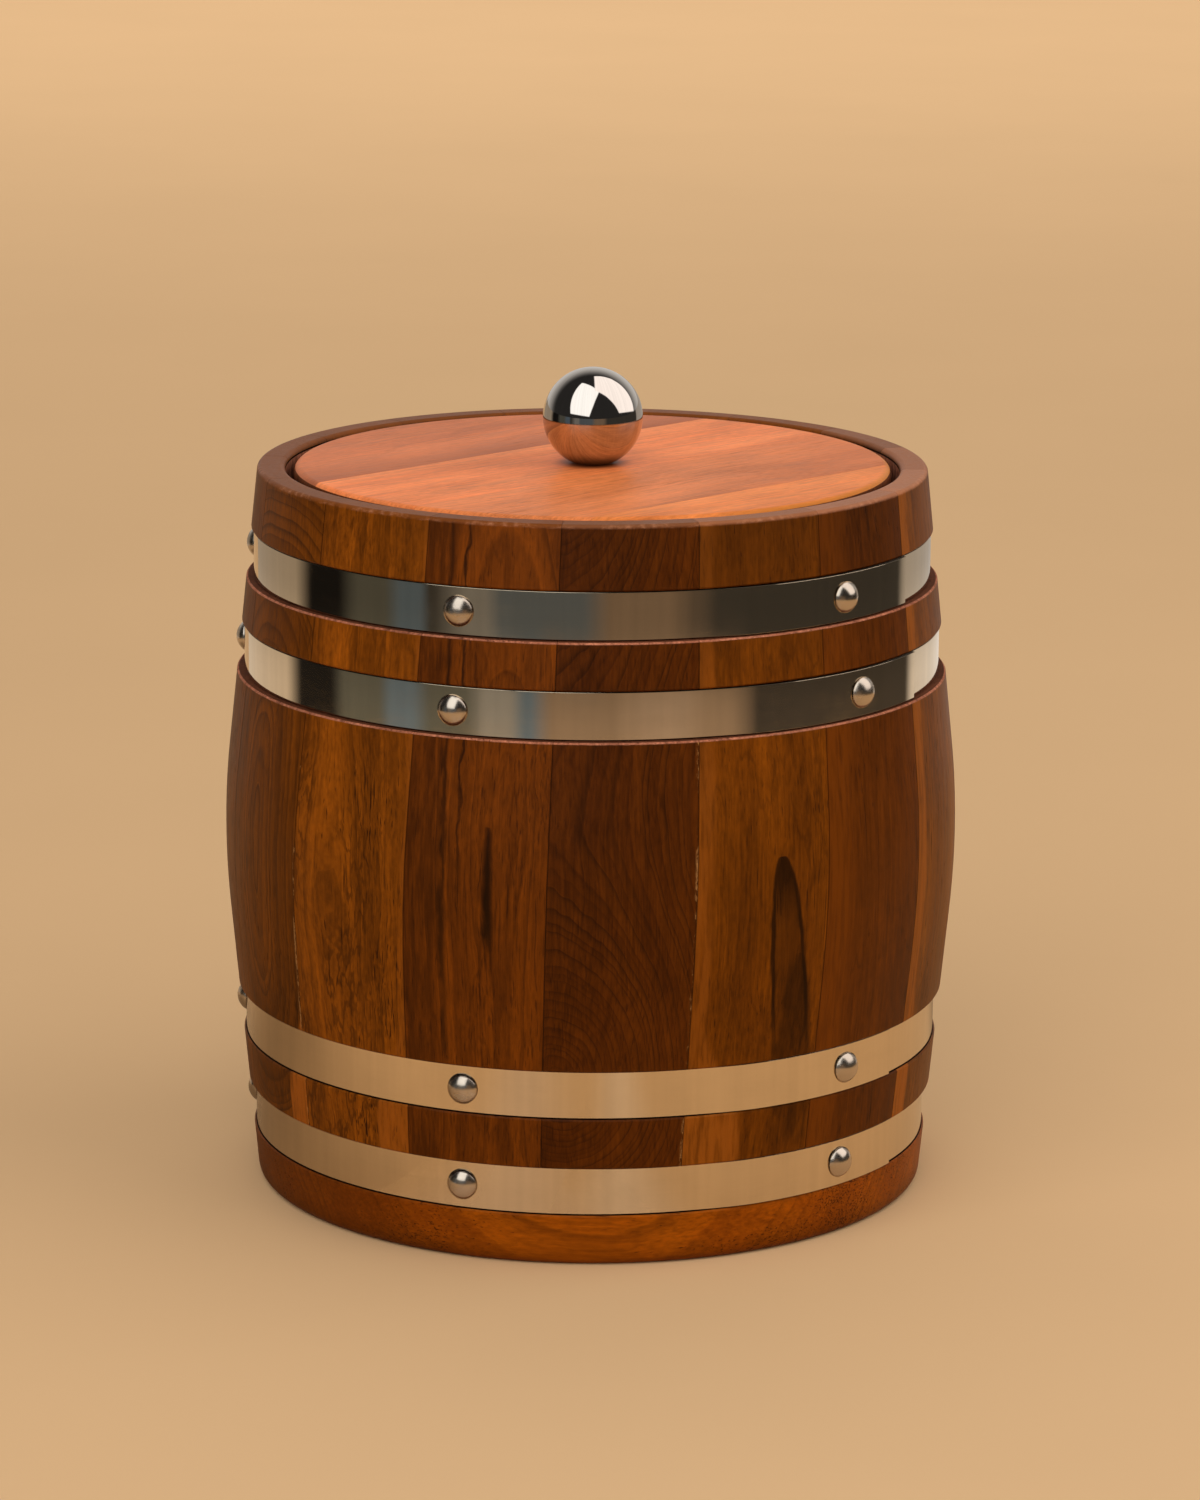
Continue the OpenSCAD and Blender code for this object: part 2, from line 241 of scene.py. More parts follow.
def newGroup(name, inputs, outputs):
    tree = bpy.data.node_groups.new(name, "ShaderNodeTree")
    for label, kind in inputs:
        tree.interface.new_socket(label, in_out="INPUT", socket_type="NodeSocket" + kind)
    for label, kind in outputs:
        tree.interface.new_socket(label, in_out="OUTPUT", socket_type="NodeSocket" + kind)
    given = tree.nodes.new("NodeGroupInput").outputs
    result = tree.nodes.new("NodeGroupOutput").inputs
    return tree, given, result


# A socket that isn't given takes the look's value of that name ("Half Width" is halfWidth)
def placeGroup(tree, group, sockets, look=None):
    node = tree.nodes.new("ShaderNodeGroup")
    node.node_tree = group
    for socket in node.inputs:
        key = socket.name[0].lower() + socket.name[1:].replace(" ", "")
        feed(tree, socket, sockets[socket.name] if socket.name in sockets else look[key])
    return node.outputs


# Solid wood in millimetres: X across the board, Y through it, Z along the grain
def makeBoardGrain():
    tree, given, result = newGroup(
        "boardGrain",
        [("Position", "Vector"), ("Seed", "Float"), ("Pith", "Vector"), ("Lean", "Vector"), ("Bow", "Vector"),
         ("Ring Width", "Float"), ("Wander", "Float"), ("Curl", "Float"), ("Lines", "Float"), ("Streaks", "Float"),
         ("Veins", "Float"), ("Vein Scale", "Float"), ("Fibres", "Float"), ("Pores", "Float"),
         ("Pore Spread", "Float"), ("Figure", "Float"), ("Figure Top", "Float"),
         ("Knot", "Vector"), ("Knot Size", "Float"), ("Knot Pull", "Float"),
         ("Dark", "Color"), ("Middle", "Color"), ("Light", "Color")],
        [("Color", "Color"), ("Roughness", "Float"), ("Height", "Float")],
    )
    place, seed = given["Position"], given["Seed"]

    def drift(stretch, shift, amount):
        swirl = noiseOf(tree, place, stretch, plus(tree, seed, shift))[1]
        return stretchBy(tree, calcVector(tree, "SUBTRACT", swirl, (0.5, 0.5, 0.5)), amount)

    bent = calcVector(tree, "ADD", place, drift((0.02, 0.02, 0.007), 0, given["Wander"]))
    bent = calcVector(tree, "ADD", bent, drift((0.16, 0.16, 0.05), 5, given["Curl"]))
    # the grain flows round a knot
    aside = calcVector(tree, "MULTIPLY", calcVector(tree, "SUBTRACT", bent, given["Knot"]), (1, 0, 0))
    away = calcVector(tree, "MULTIPLY", calcVector(tree, "SUBTRACT", bent, given["Knot"]), (1, 0, 0.4))
    near = calc(tree, "POWER", calc(tree, "DIVIDE", lengthOf(tree, away), given["Knot Size"]), 2.0)
    pull = times(tree, calc(tree, "EXPONENT", times(tree, near, -1.0)), given["Knot Pull"])
    bent = calcVector(tree, "SUBTRACT", bent, stretchBy(tree, aside, pull))

    # growth rings round a leaning, bowed pith, each ring with its own strength
    length = split(tree, place)["Z"]
    pith = calcVector(tree, "ADD", given["Pith"], stretchBy(tree, given["Lean"], length))
    square = times(tree, times(tree, length, length), 0.01)
    pith = calcVector(tree, "ADD", pith, stretchBy(tree, given["Bow"], square))
    outward = calcVector(tree, "MULTIPLY", calcVector(tree, "SUBTRACT", bent, pith), (1, 1, 0))
    rings = calc(tree, "DIVIDE", lengthOf(tree, outward), given["Ring Width"])
    sooner = put(tree, "TexNoise", {"W": plus(tree, times(tree, rings, 0.4), seed),
                                    "Scale": 1.0, "Detail": 1.0}, noise_dimensions="1D").outputs[0]
    counted = plus(tree, rings, times(tree, sooner, 2.2))
    phase = calc(tree, "FRACT", counted)
    year = plus(tree, calc(tree, "FLOOR", counted), seed)
    chance = put(tree, "TexWhiteNoise", {"W": year}, noise_dimensions="1D").outputs["Value"]
    late = times(tree, calc(tree, "POWER", phase, 3.0), rise(tree, phase, 1.0, 0.88))
    late = times(tree, late, plus(tree, times(tree, chance, 0.7), 0.3))

    # long streaks, fine fibres, dark veins and pores that follow the bent grain
    def along(stretch, shift, detail=2, roughness=0.5):
        return noiseOf(tree, bent, stretch, plus(tree, seed, shift), detail, roughness)[0]

    streak = rise(tree, along((0.11, 0.11, 0.005), 3, 4, 0.6), 0.3, 0.7)
    fibre = minus(tree, along((1.5, 1.5, 0.035), 11, 3, 0.6), 0.5)
    mottle = minus(tree, along((1.0, 1.0, 0.4), 13, 2, 0.6), 0.5)
    cloud = minus(tree, along((0.05, 0.05, 0.022), 29, 3), 0.5)
    patch = along((0.05, 0.05, 0.016), 23)
    crowd = times(tree, minus(tree, patch, 0.5), given["Pore Spread"])
    pore = rise(tree, plus(tree, along((2.6, 2.6, 0.085), 17, 1), crowd), 0.62, 0.74)
    thin = given["Vein Scale"]
    curled = times(tree, times(tree, thin, given["Figure"]), 0.27)
    veinStretch = put(tree, "CombineXYZ", {"X": thin, "Y": thin, "Z": curled}).outputs[0]
    veinGap = calc(tree, "ABSOLUTE", minus(tree, along(veinStretch, 19, 3), 0.5))
    vein = rise(tree, calc(tree, "DIVIDE", veinGap, thin), 0.16, 0.03)
    vein = times(tree, vein, rise(tree, along((0.08, 0.08, 0.02), 31), 0.36, 0.58))
    top = given["Figure Top"]
    calm = rise(tree, length, minus(tree, top, 12.0), plus(tree, top, 12.0))
    lively = minus(tree, 1.0, times(tree, calm, 0.7))
    vein, pore = times(tree, vein, lively), times(tree, pore, lively)

    warmth = times(tree, minus(tree, chance, 0.5), times(tree, given["Lines"], 0.6))
    warmth = plus(tree, times(tree, streak, given["Streaks"]), warmth, clamp=True)
    colour = mixColour(tree, warmth, given["Middle"], given["Light"])
    colour = mixColour(tree, times(tree, late, given["Lines"]), colour, given["Dark"])
    shade = plus(tree, times(tree, fibre, given["Fibres"]), times(tree, cloud, 1.1))
    shade = plus(tree, plus(tree, shade, times(tree, mottle, given["Figure"])), 1.0)
    colour = stretchBy(tree, colour, shade)
    poreColour = mixColour(tree, 0.4, given["Dark"], (0.0, 0.0, 0.0, 1))
    colour = mixColour(tree, times(tree, vein, given["Veins"]), colour, poreColour)
    poreShare = times(tree, pore, given["Pores"])
    feed(tree, result["Color"], mixColour(tree, poreShare, colour, poreColour))

    rough = plus(tree, times(tree, fibre, 0.25), 0.42)
    feed(tree, result["Roughness"], plus(tree, rough, times(tree, poreShare, 0.2)))
    dip = plus(tree, poreShare, times(tree, late, 0.3))
    feed(tree, result["Height"], minus(tree, times(tree, fibre, 0.5), dip))
    return tree


meanRadius = 90.0  # of the barrel, where a turn is made a length


# Distance from a stave's nearer seam in millimetres, and the turn from its middle
def makeSeamInset():
    tree, given, result = newGroup(
        "seamInset",
        [("Position", "Vector"), ("Half Turn", "Float"), ("Lean", "Float"), ("Middle Z", "Float")],
        [("Inset", "Float"), ("Turn", "Float")],
    )
    x, y, z = [split(tree, given["Position"])[axis] for axis in "XYZ"]
    turn = calc(tree, "ARCTAN2", x, times(tree, y, -1.0))
    leaning = times(tree, minus(tree, z, given["Middle Z"]), given["Lean"])
    turn = minus(tree, turn, leaning)
    inset = minus(tree, given["Half Turn"], calc(tree, "ABSOLUTE", turn))
    feed(tree, result["Inset"], times(tree, inset, meanRadius))
    feed(tree, result["Turn"], turn)
    return tree


stripFoot = {"from": 62.0, "to": 34.0, "strength": 0.7}  # heights between which a strip widens and gets clearer


# A strip of paler or darker wood along one edge of a stave, wider at the foot
def makeEdgeStrip():
    tree, given, result = newGroup(
        "edgeStrip",
        [("Position", "Vector"), ("Seed", "Float"), ("Inset", "Float"), ("Turn", "Float"), ("Side", "Float"),
         ("Width", "Float"), ("Foot Width", "Float"), ("Softness", "Float")],
        [("Mask", "Float")],
    )
    place, seed = given["Position"], given["Seed"]
    waver = minus(tree, noiseOf(tree, place, (0.3, 0.3, 0.05), seed, 3)[0], 0.5)
    side = calc(tree, "GREATER_THAN", times(tree, given["Turn"], given["Side"]), 0.0)
    edge = plus(tree, given["Width"], times(tree, waver, 3.5))
    foot = rise(tree, split(tree, place)["Z"], stripFoot["from"], stripFoot["to"])
    edge = plus(tree, edge, times(tree, foot, given["Foot Width"]))
    depth = calc(tree, "DIVIDE", minus(tree, edge, given["Inset"]), given["Softness"])
    flame = rise(tree, noiseOf(tree, place, (0.9, 0.9, 0.07), plus(tree, seed, 43), 3)[0], 0.35, 0.6)
    flame = plus(tree, times(tree, flame, 0.6), 0.4)
    inside = times(tree, rise(tree, depth, -1.0, 1.0), side)
    widened = calc(tree, "MINIMUM", given["Foot Width"], 1.0)
    stronger = times(tree, times(tree, foot, widened), stripFoot["strength"])
    stronger = plus(tree, stronger, 1.0)
    feed(tree, result["Mask"], times(tree, times(tree, inside, flame), stronger))
    return tree


# The dark glue line of a seam, and flecks of dry filler in it
def makeSeamLine():
    tree, given, result = newGroup(
        "seamLine",
        [("Position", "Vector"), ("Seed", "Float"), ("Inset", "Float"), ("Turn", "Float"), ("Fill Side", "Float"),
         ("Fill Amount", "Float"), ("Fill Top", "Float")],
        [("Fill", "Float"), ("Line", "Float")],
    )
    place, seed = given["Position"], given["Seed"]
    side = calc(tree, "GREATER_THAN", times(tree, given["Turn"], given["Fill Side"]), 0.0)
    broken = noiseOf(tree, place, (1.4, 1.4, 0.5), plus(tree, seed, 31), 4, 0.75)[0]
    stretch = noiseOf(tree, place, (0.02, 0.02, 0.05), plus(tree, seed, 37), 1)[0]
    coming = times(tree, minus(tree, stretch, 0.5), 1.8)
    above = calc(tree, "GREATER_THAN", split(tree, place)["Z"], given["Fill Top"])
    amount = minus(tree, plus(tree, given["Fill Amount"], coming), times(tree, above, 0.7))
    flecks = rise(tree, plus(tree, broken, times(tree, amount, 0.45)), 0.56, 0.72)
    narrow = rise(tree, given["Inset"], 0.85, 0.15)
    feed(tree, result["Fill"], times(tree, times(tree, flecks, narrow), side))
    feed(tree, result["Line"], rise(tree, given["Inset"], 0.28, 0.1))
    return tree


# A dark mineral streak: pointed at its top, fading out at its foot, with a darker rim
def makeDarkMark():
    tree, given, result = newGroup(
        "darkMark",
        [("Position", "Vector"), ("Seed", "Float"), ("Middle X", "Float"), ("Slant", "Float"), ("Foot Z", "Float"),
         ("Half Width", "Float"), ("Height", "Float"), ("Rim Width", "Float"), ("Waver", "Float"),
         ("Softness", "Float")],
        [("Fill", "Float"), ("Rim", "Float")],
    )
    place, seed = given["Position"], given["Seed"]
    x, z = split(tree, place)["X"], split(tree, place)["Z"]
    waver = minus(tree, noiseOf(tree, place, (0.35, 0.0, 0.12), seed, 3)[0], 0.5)
    climb = calc(tree, "DIVIDE", minus(tree, z, given["Foot Z"]), given["Height"])
    taper = calc(tree, "SQRT", calc(tree, "MAXIMUM", minus(tree, 1.0, climb), 0.0))
    taper = times(tree, taper, plus(tree, 0.8, times(tree, climb, 0.5)))
    half = times(tree, given["Half Width"], taper)
    shift = times(tree, given["Slant"], minus(tree, z, given["Foot Z"]))
    middle = plus(tree, given["Middle X"], shift)
    off = plus(tree, minus(tree, x, middle), times(tree, waver, given["Waver"]))
    off = calc(tree, "ABSOLUTE", off)
    inside = minus(tree, half, off)  # millimetres inside the mark's outline
    fade = rise(tree, plus(tree, climb, times(tree, waver, 0.5)), -0.08, 0.3)
    fade = times(tree, fade, calc(tree, "LESS_THAN", climb, 1.0))
    depth = calc(tree, "DIVIDE", inside, given["Softness"])
    feed(tree, result["Fill"], times(tree, rise(tree, depth, -0.5, 0.5), fade))
    near = calc(tree, "DIVIDE", calc(tree, "ABSOLUTE", inside), given["Rim Width"])
    tip = rise(tree, climb, 0.62, 0.95)
    tip = times(tree, tip, rise(tree, inside, -0.2, 0.2))
    rim = calc(tree, "MAXIMUM", rise(tree, near, 1.0, 0.25), tip)
    feed(tree, result["Rim"], times(tree, rim, fade))
    return tree


# Pale flecks along a ring-shaped edge of the turned wood: rubbed wear, and a painted highlight where the edge catches
# the light
def makeRubAndHighlight():
    tree, given, result = newGroup(
        "rubbedEdge",
        [("Position", "Vector"), ("Edge Radius", "Float"), ("Edge Z", "Float"), ("Reach", "Float"),
         ("Amount", "Float")],
        [("Mask", "Float")],
    )
    place = given["Position"]
    x, y, z = [split(tree, place)[axis] for axis in "XYZ"]
    out = minus(tree, slopeOf(tree, x, y), given["Edge Radius"])
    up = minus(tree, z, given["Edge Z"])
    close = rise(tree, calc(tree, "DIVIDE", slopeOf(tree, out, up), given["Reach"]), 1.0, 0.4)
    flecks = noiseOf(tree, place, (0.35, 0.35, 0.7), 41, 4, 0.65)[0]
    flecks = rise(tree, plus(tree, flecks, given["Amount"]), 0.46, 0.8)
    feed(tree, result["Mask"], times(tree, close, flecks))
    return tree


# Polishing lines round the barrel's axis, smudges, and a slow waviness of thin strip
def makeHoopPolish():
    tree, given, result = newGroup(
        "hoopPolish",
        [("Position", "Vector"), ("Seed", "Float"), ("Lines", "Float"), ("Smudges", "Float")],
        [("Tone", "Float"), ("Roughness", "Float"), ("Height", "Float")],
    )
    x, y, z = [split(tree, given["Position"])[axis] for axis in "XYZ"]
    arc = times(tree, calc(tree, "ARCTAN2", x, times(tree, y, -1.0)), meanRadius)
    flat = put(tree, "CombineXYZ", {"X": arc, "Y": z, "Z": 0.0}).outputs["Vector"]
    lines = minus(tree, noiseOf(tree, flat, (0.03, 5.0, 0), given["Seed"], 4, 0.7)[0], 0.5)
    smudge = rise(tree, noiseOf(tree, flat, (0.05, 0.12, 0), given["Seed"], 4, 0.65)[0], 0.42, 0.75)
    across = noiseOf(tree, flat, (0.3, 0.012, 0), plus(tree, given["Seed"], 5), 3)[0]
    across = minus(tree, across, 0.5)
    wave = noiseOf(tree, flat, (0.035, 0.05, 0), given["Seed"], 1)[0]
    scratch = rise(tree, noiseOf(tree, flat, (0.15, 1.6, 0), plus(tree, given["Seed"], 9), 2)[0], 0.7, 0.8)
    linePart = times(tree, lines, given["Lines"])
    smudgePart = times(tree, smudge, given["Smudges"])
    tone = minus(tree, 1.0, times(tree, smudgePart, 0.12))
    tone = plus(tree, tone, times(tree, across, 0.26))
    feed(tree, result["Tone"], plus(tree, tone, times(tree, linePart, 0.2)))
    rough = plus(tree, times(tree, linePart, 0.15), times(tree, smudgePart, 0.12))
    feed(tree, result["Roughness"], plus(tree, rough, times(tree, scratch, 0.08)))
    feed(tree, result["Height"], plus(tree, wave, times(tree, linePart, 0.004)))
    return tree


boardGrain = makeBoardGrain()
seamInset = makeSeamInset()
edgeStrip = makeEdgeStrip()
seamLine = makeSeamLine()
darkMark = makeDarkMark()
rubbedEdge = makeRubAndHighlight()
hoopPolish = makeHoopPolish()
print("node groups made")


def newMaterial(name):
    material = bpy.data.materials.new(name)
    material.use_nodes = True
    tree = material.node_tree
    return material, tree, tree.nodes["Principled BSDF"].inputs


# Object coordinates in millimetres, turned so that a board's own X, Y and Z come out
def boardPlace(tree, rotation=(0, 0, 0)):
    coordinates = put(tree, "TexCoord").outputs["Object"]
    sockets = {"Vector": coordinates, "Rotation": rotation, "Scale": (1 / mm, 1 / mm, 1 / mm)}
    return put(tree, "Mapping", sockets).outputs["Vector"]


def grainOf(tree, place, look, seed):
    tones = {tone: tint(*look[tone.lower()]) for tone in ("Dark", "Middle", "Light")}
    return placeGroup(tree, boardGrain, {"Position": place, "Seed": seed, **tones}, look)


def bumpFrom(tree, height, strength, distance):
    sockets = {"Height": height, "Strength": strength, "Distance": distance * mm}
    return put(tree, "Bump", sockets).outputs["Normal"]


# Satin lacquer over wood
lacquer = {"coat": 0.02, "coatRoughness": 0.22, "specular": 0.05, "grainStrength": 0.35, "grainDepth": 0.1}


def lacquered(tree, shader, colour, grain):
    feed(tree, shader["Base Color"], colour)
    feed(tree, shader["Roughness"], grain["Roughness"])
    feed(tree, shader["Normal"], bumpFrom(tree, grain["Height"], lacquer["grainStrength"], lacquer["grainDepth"]))
    shader["Specular IOR Level"].default_value = lacquer["specular"]
    shader["Coat Weight"].default_value = lacquer["coat"]
    shader["Coat Roughness"].default_value = lacquer["coatRoughness"]


# The barrel's turned form
barrel = {
    "height": 185.4, "rimRadius": 85.0, "bellyRadius": 93.77, "footRadius": 85.9,
    "bellyZ": 92.4, "bendHeight": 21.0, "boreRadius": 77.9,
    "rimOuterRound": 1.2, "rimInnerRound": 1.6, "footRound": 2.5,
    "jointZ": 14.6, "glueLine": 0.05, "spigotRadius": 77.8, "spigotTop": 20.6,
    "grooveGap": 0.25, "grooveLip": 0.4, "grooveFit": 0.05,
}
hoop = {"width": 11.8, "thick": 0.8, "recess": 0.6, "lapRise": 0.85, "tail": 15, "climb": 13,
        "step": 2, "edgeSoft": 0.16, "edgeSegments": 3, "dullFrom": 0.35}
hoopList = [
    {"node": "rim_hoop", "freeEnd": 63.5, "lapNail": 45.5, "frontNail": -21.9, "leftNail": -94.4, "paleLedge": True},
    {"node": "upper_hoop", "freeEnd": 64.0, "lapNail": 48.0, "frontNail": -22.2, "leftNail": -92.5, "paleLedge": True},
    {"node": "lower_hoop", "freeEnd": 57.0, "lapNail": 45.2, "frontNail": -20.4, "leftNail": -90.6, "paleLedge": False},
    {"node": "foot_hoop", "freeEnd": 60.5, "lapNail": 45.8, "frontNail": -21.1, "leftNail": -92.0, "paleLedge": False},
]


def outlineFall(distance, reach, drop):
    bend = barrel["bendHeight"]
    slope = drop / (reach - bend / 2)
    return slope * distance ** 2 / (2 * bend) if distance < bend else slope * (distance - bend / 2)


def woodRadius(z):
    above = z > barrel["bellyZ"]
    reach = barrel["height"] - barrel["bellyZ"] if above else barrel["bellyZ"]
    end = barrel["rimRadius"] if above else barrel["footRadius"]
    return barrel["bellyRadius"] - outlineFall(abs(z - barrel["bellyZ"]), reach, barrel["bellyRadius"] - end)


for each in hoopList:
    low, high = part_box(each["node"])
    each["z"] = (low.z + high.z) / 2 / mm
    half = hoop["width"] / 2
    each["radius"] = min(woodRadius(each["z"] - half), woodRadius(each["z"] + half)) - hoop["recess"]
    each["grooveRadius"] = each["radius"] - hoop["thick"] - barrel["grooveFit"]
    each["grooveLow"] = each["z"] - half - barrel["grooveGap"]
    each["grooveHigh"] = each["z"] + half + barrel["grooveGap"]


def grooveStart(each):
    lip, low = barrel["grooveLip"], each["grooveLow"]
    return [(woodRadius(low - lip), low - lip), (woodRadius(low) - lip, low), (each["grooveRadius"], low)]


def grooveEnd(each):
    lip, high = barrel["grooveLip"], each["grooveHigh"]
    return [(each["grooveRadius"], high), (woodRadius(high) - lip, high), (woodRadius(high + lip), high + lip)]


def outerRun(low, high, spacing=4.5):
    count = max(1, round((high - low) / spacing))
    heights = [low + (high - low) * i / count for i in range(1, count)]
    return [(woodRadius(z), z) for z in heights]


# Staves
stave = {"count": 16, "firstSeam": 16.0, "steps": 12, "seamGap": 0.02, "edgeSoft": 0.09, "lean": 0.017,
         "seedStep": 13.7}
staveTurn = 360 / stave["count"]

plainLook = {"pith": (60, -70, 0), "lean": (0.02, 0.01, 0), "bow": (0, 0, 0), "ringWidth": 3.2, "wander": 14,
             "curl": 1.2, "lines": 0.6, "streaks": 0.6, "veins": 0.3, "veinScale": 0.12,
             "fibres": 1.3, "pores": 0.45, "poreSpread": 0.35, "figure": 0.6, "figureTop": 400,
             "knot": (0, 0, 0), "knotSize": 8, "knotPull": 0, "endGrain": (130, 72, 32),
             "dark": (52, 23, 2), "middle": (96, 47, 1), "light": (118, 60, 3)}
# What differs on each stave: the front ones follow the photograph, the others vary the same wood
staveLooks = {
    13: {"pith": (-2, -37.6, 0), "lean": (0, -1.14, 0), "bow": (0, 0.6, 0), "ringWidth": 2.4, "wander": 8,
         "lines": 1.0, "dark": (26, 11, 1), "middle": (90, 45, 1), "light": (116, 60, 3)},
    14: {"pith": (-5, -97.6, 0), "lean": (0, 0.088, 0), "wander": 16, "curl": 3.5,
         "lines": 0.6, "streaks": 0.9, "veins": 0.5, "veinScale": 0.35, "pores": 0.9, "poreSpread": 0.5,
         "figure": 1.1, "figureTop": 122, "knot": (-6, 0, 94), "knotSize": 9, "knotPull": 0.8,
         "dark": (46, 20, 1), "middle": (97, 49, 2), "light": (132, 69, 5)},
    15: {"pith": (6, -80.3, 0), "lean": (0, -0.1, 0), "ringWidth": 3.4, "wander": 8, "curl": 2.0, "lines": 0.7,
         "veins": 0.2, "veinScale": 0.13, "dark": (36, 14, 1), "middle": (92, 43, 2), "light": (110, 53, 3)},
    16: {"pith": (-15, -127, 0), "lean": (0, 0.965, 0), "bow": (0, -0.363, 0), "ringWidth": 1.3, "wander": 9,
         "curl": 2.0, "lines": 0.9, "streaks": 0.4, "veins": 0.15, "pores": 0.35, "endGrain": (146, 91, 58),
         "dark": (33, 13, 1), "middle": (71, 31, 1), "light": (84, 39, 2)},
    1: {"pith": (80, -60, 0), "ringWidth": 4.2, "lines": 0.5, "streaks": 0.7, "veins": 0.25, "veinScale": 0.2,
        "pores": 0.65, "figure": 0.65, "endGrain": (176, 112, 76),
        "dark": (48, 21, 1), "middle": (94, 46, 1), "light": (116, 59, 2)},
    2: {"pith": (-60, -70, 0), "ringWidth": 3.6, "lines": 0.35, "pores": 0.6, "endGrain": (192, 126, 90),
        "dark": (44, 19, 1), "middle": (79, 36, 1), "light": (94, 45, 2)},
    3: {"pith": (40, -50, 0), "lines": 0.8, "streaks": 0.9, "pores": 0.6, "endGrain": (192, 126, 90),
        "dark": (60, 28, 4), "middle": (100, 52, 6), "light": (122, 67, 13)},
    4: {"pith": (-30, -45, 0), "curl": 2.5, "endGrain": (176, 112, 76)},
    5: {"pith": (85, -75, 0), "endGrain": (152, 95, 62), "middle": (84, 40, 1), "light": (102, 50, 3)},
    6: {"pith": (4, -96, 0), "lean": (0, 0.12, 0), "ringWidth": 2.8, "middle": (106, 54, 3)},
    7: {"pith": (-75, -85, 0), "ringWidth": 2.2, "middle": (90, 44, 2)},
    8: {"pith": (35, -60, 0), "curl": 3.5, "veins": 0.6, "veinScale": 0.18, "pores": 0.7, "middle": (102, 51, 2)},
    9: {"pith": (-6, -80, 0), "lean": (0, -0.08, 0), "ringWidth": 3.6, "middle": (78, 36, 1), "light": (96, 47, 2)},
    10: {"pith": (95, -80, 0), "ringWidth": 2.6},
    11: {"pith": (-40, -55, 0), "lines": 0.75, "middle": (94, 47, 2)},
    12: {"pith": (5, -100, 0), "lean": (0, 0.1, 0), "ringWidth": 2.8, "middle": (90, 44, 2)},
}
# Strips of other wood along an edge (the left one is -1, the right one 1)
paleWood, darkWood = (142, 76, 16), (48, 20, 1)
edgeStrips = [
    {"stave": 13, "side": 1, "width": -1.5, "footWidth": 9.0, "softness": 0.5, "share": 0.75, "colour": paleWood},
    {"stave": 14, "side": 1, "width": 1.2, "footWidth": 8.0, "softness": 0.8, "share": 0.5, "colour": paleWood},
    {"stave": 15, "side": -1, "width": 8.5, "footWidth": 0.0, "softness": 2.5, "share": 0.65, "colour": darkWood},
    {"stave": 1, "side": -1, "width": 4.0, "footWidth": 11.0, "softness": 1.2, "share": 0.5, "colour": paleWood},
    {"stave": 2, "side": -1, "width": 9.0, "footWidth": 0.0, "softness": 4.0, "share": 0.9, "colour": (104, 50, 2)},
    {"stave": 3, "side": -1, "width": 4.6, "footWidth": 2.5, "softness": 0.6, "share": 0.75, "colour": paleWood},
    {"stave": 7, "side": -1, "width": 3.0, "footWidth": 2.0, "softness": 0.6, "share": 0.5, "colour": paleWood},
    {"stave": 10, "side": 1, "width": 5.0, "footWidth": 0.0, "softness": 2.0, "share": 0.5, "colour": darkWood},
]
# Filled seams (side, amount)
filledSeams = {13: (1, 0.05), 16: (1, 0.25), 1: (1, -0.4), 5: (1, 0.0), 9: (-1, 0.1)}
noFill = (1, -2.0)
fillColour, seamColour = (178, 128, 74), (36, 15, 2)
# Dark streaks in the wood
darkMarks = [
    {"stave": 1, "middleX": 9.1, "slant": -0.085, "footZ": 50, "halfWidth": 6.0, "height": 53,
     "rimWidth": 0.9, "waver": 1.6, "softness": 1.2, "fill": 0.42, "rim": 0.8},
    {"stave": 15, "middleX": 3.7, "slant": 0.0, "footZ": 78, "halfWidth": 1.5, "height": 34,
     "rimWidth": 0.7, "waver": 1.6, "softness": 1.6, "fill": 0.9, "rim": 0.2},
    {"stave": 15, "middleX": -8.0, "slant": 0.0, "footZ": 38, "halfWidth": 0.8, "height": 175,
     "rimWidth": 0.3, "waver": 3.5, "softness": 1.2, "fill": 0.7, "rim": 0.0},
    {"stave": 15, "middleX": -3.8, "slant": 0.0, "footZ": 88, "halfWidth": 0.55, "height": 130,
     "rimWidth": 0.3, "waver": 5.0, "softness": 0.8, "fill": 0.8, "rim": 0.0},
    {"stave": 1, "middleX": 10.0, "slant": 0.0, "footZ": 22, "halfWidth": 7.0, "height": 56,
     "rimWidth": 0.3, "waver": 3.0, "softness": 3.0, "fill": 0.5, "rim": 0.0},
    {"stave": 1, "middleX": 0.0, "slant": 0.0, "footZ": 140, "halfWidth": 60, "height": 110,
     "rimWidth": 0.3, "waver": 2.0, "softness": 8.0, "fill": 0.4, "rim": 0.0},
    {"stave": 2, "middleX": 0.0, "slant": 0.0, "footZ": 150, "halfWidth": 60, "height": 90,
     "rimWidth": 0.3, "waver": 2.0, "softness": 8.0, "fill": 0.25, "rim": 0.0},
]
markColour = (24, 10, 1)
# Edges of the turned wood that are pale in flecks, rubbed and with a painted highlight: the rim's own, and those below
# the two upper hoops
rubAndHighlightEdges = [{"edgeRadius": barrel["rimRadius"] - 0.4, "edgeZ": barrel["height"] - 0.4, "reach": 1.0,
                "amount": -0.02}]
for each in hoopList:
    if each["paleLedge"]:
        lip = each["grooveLow"]
        rubAndHighlightEdges.append({"edgeRadius": woodRadius(lip) - 0.2, "edgeZ": lip - 0.2, "reach": 0.5, "amount": 0.08})
rubAndHighlightColour = (206, 144, 108)
# How much of these colours shows, and the depth of the end grain below the rim
staveFinish = {"seam": 0.5, "fill": 0.6, "endGrain": 0.6, "rub": 0.55, "endGrainFrom": 1.2, "endGrainTo": 0.3}


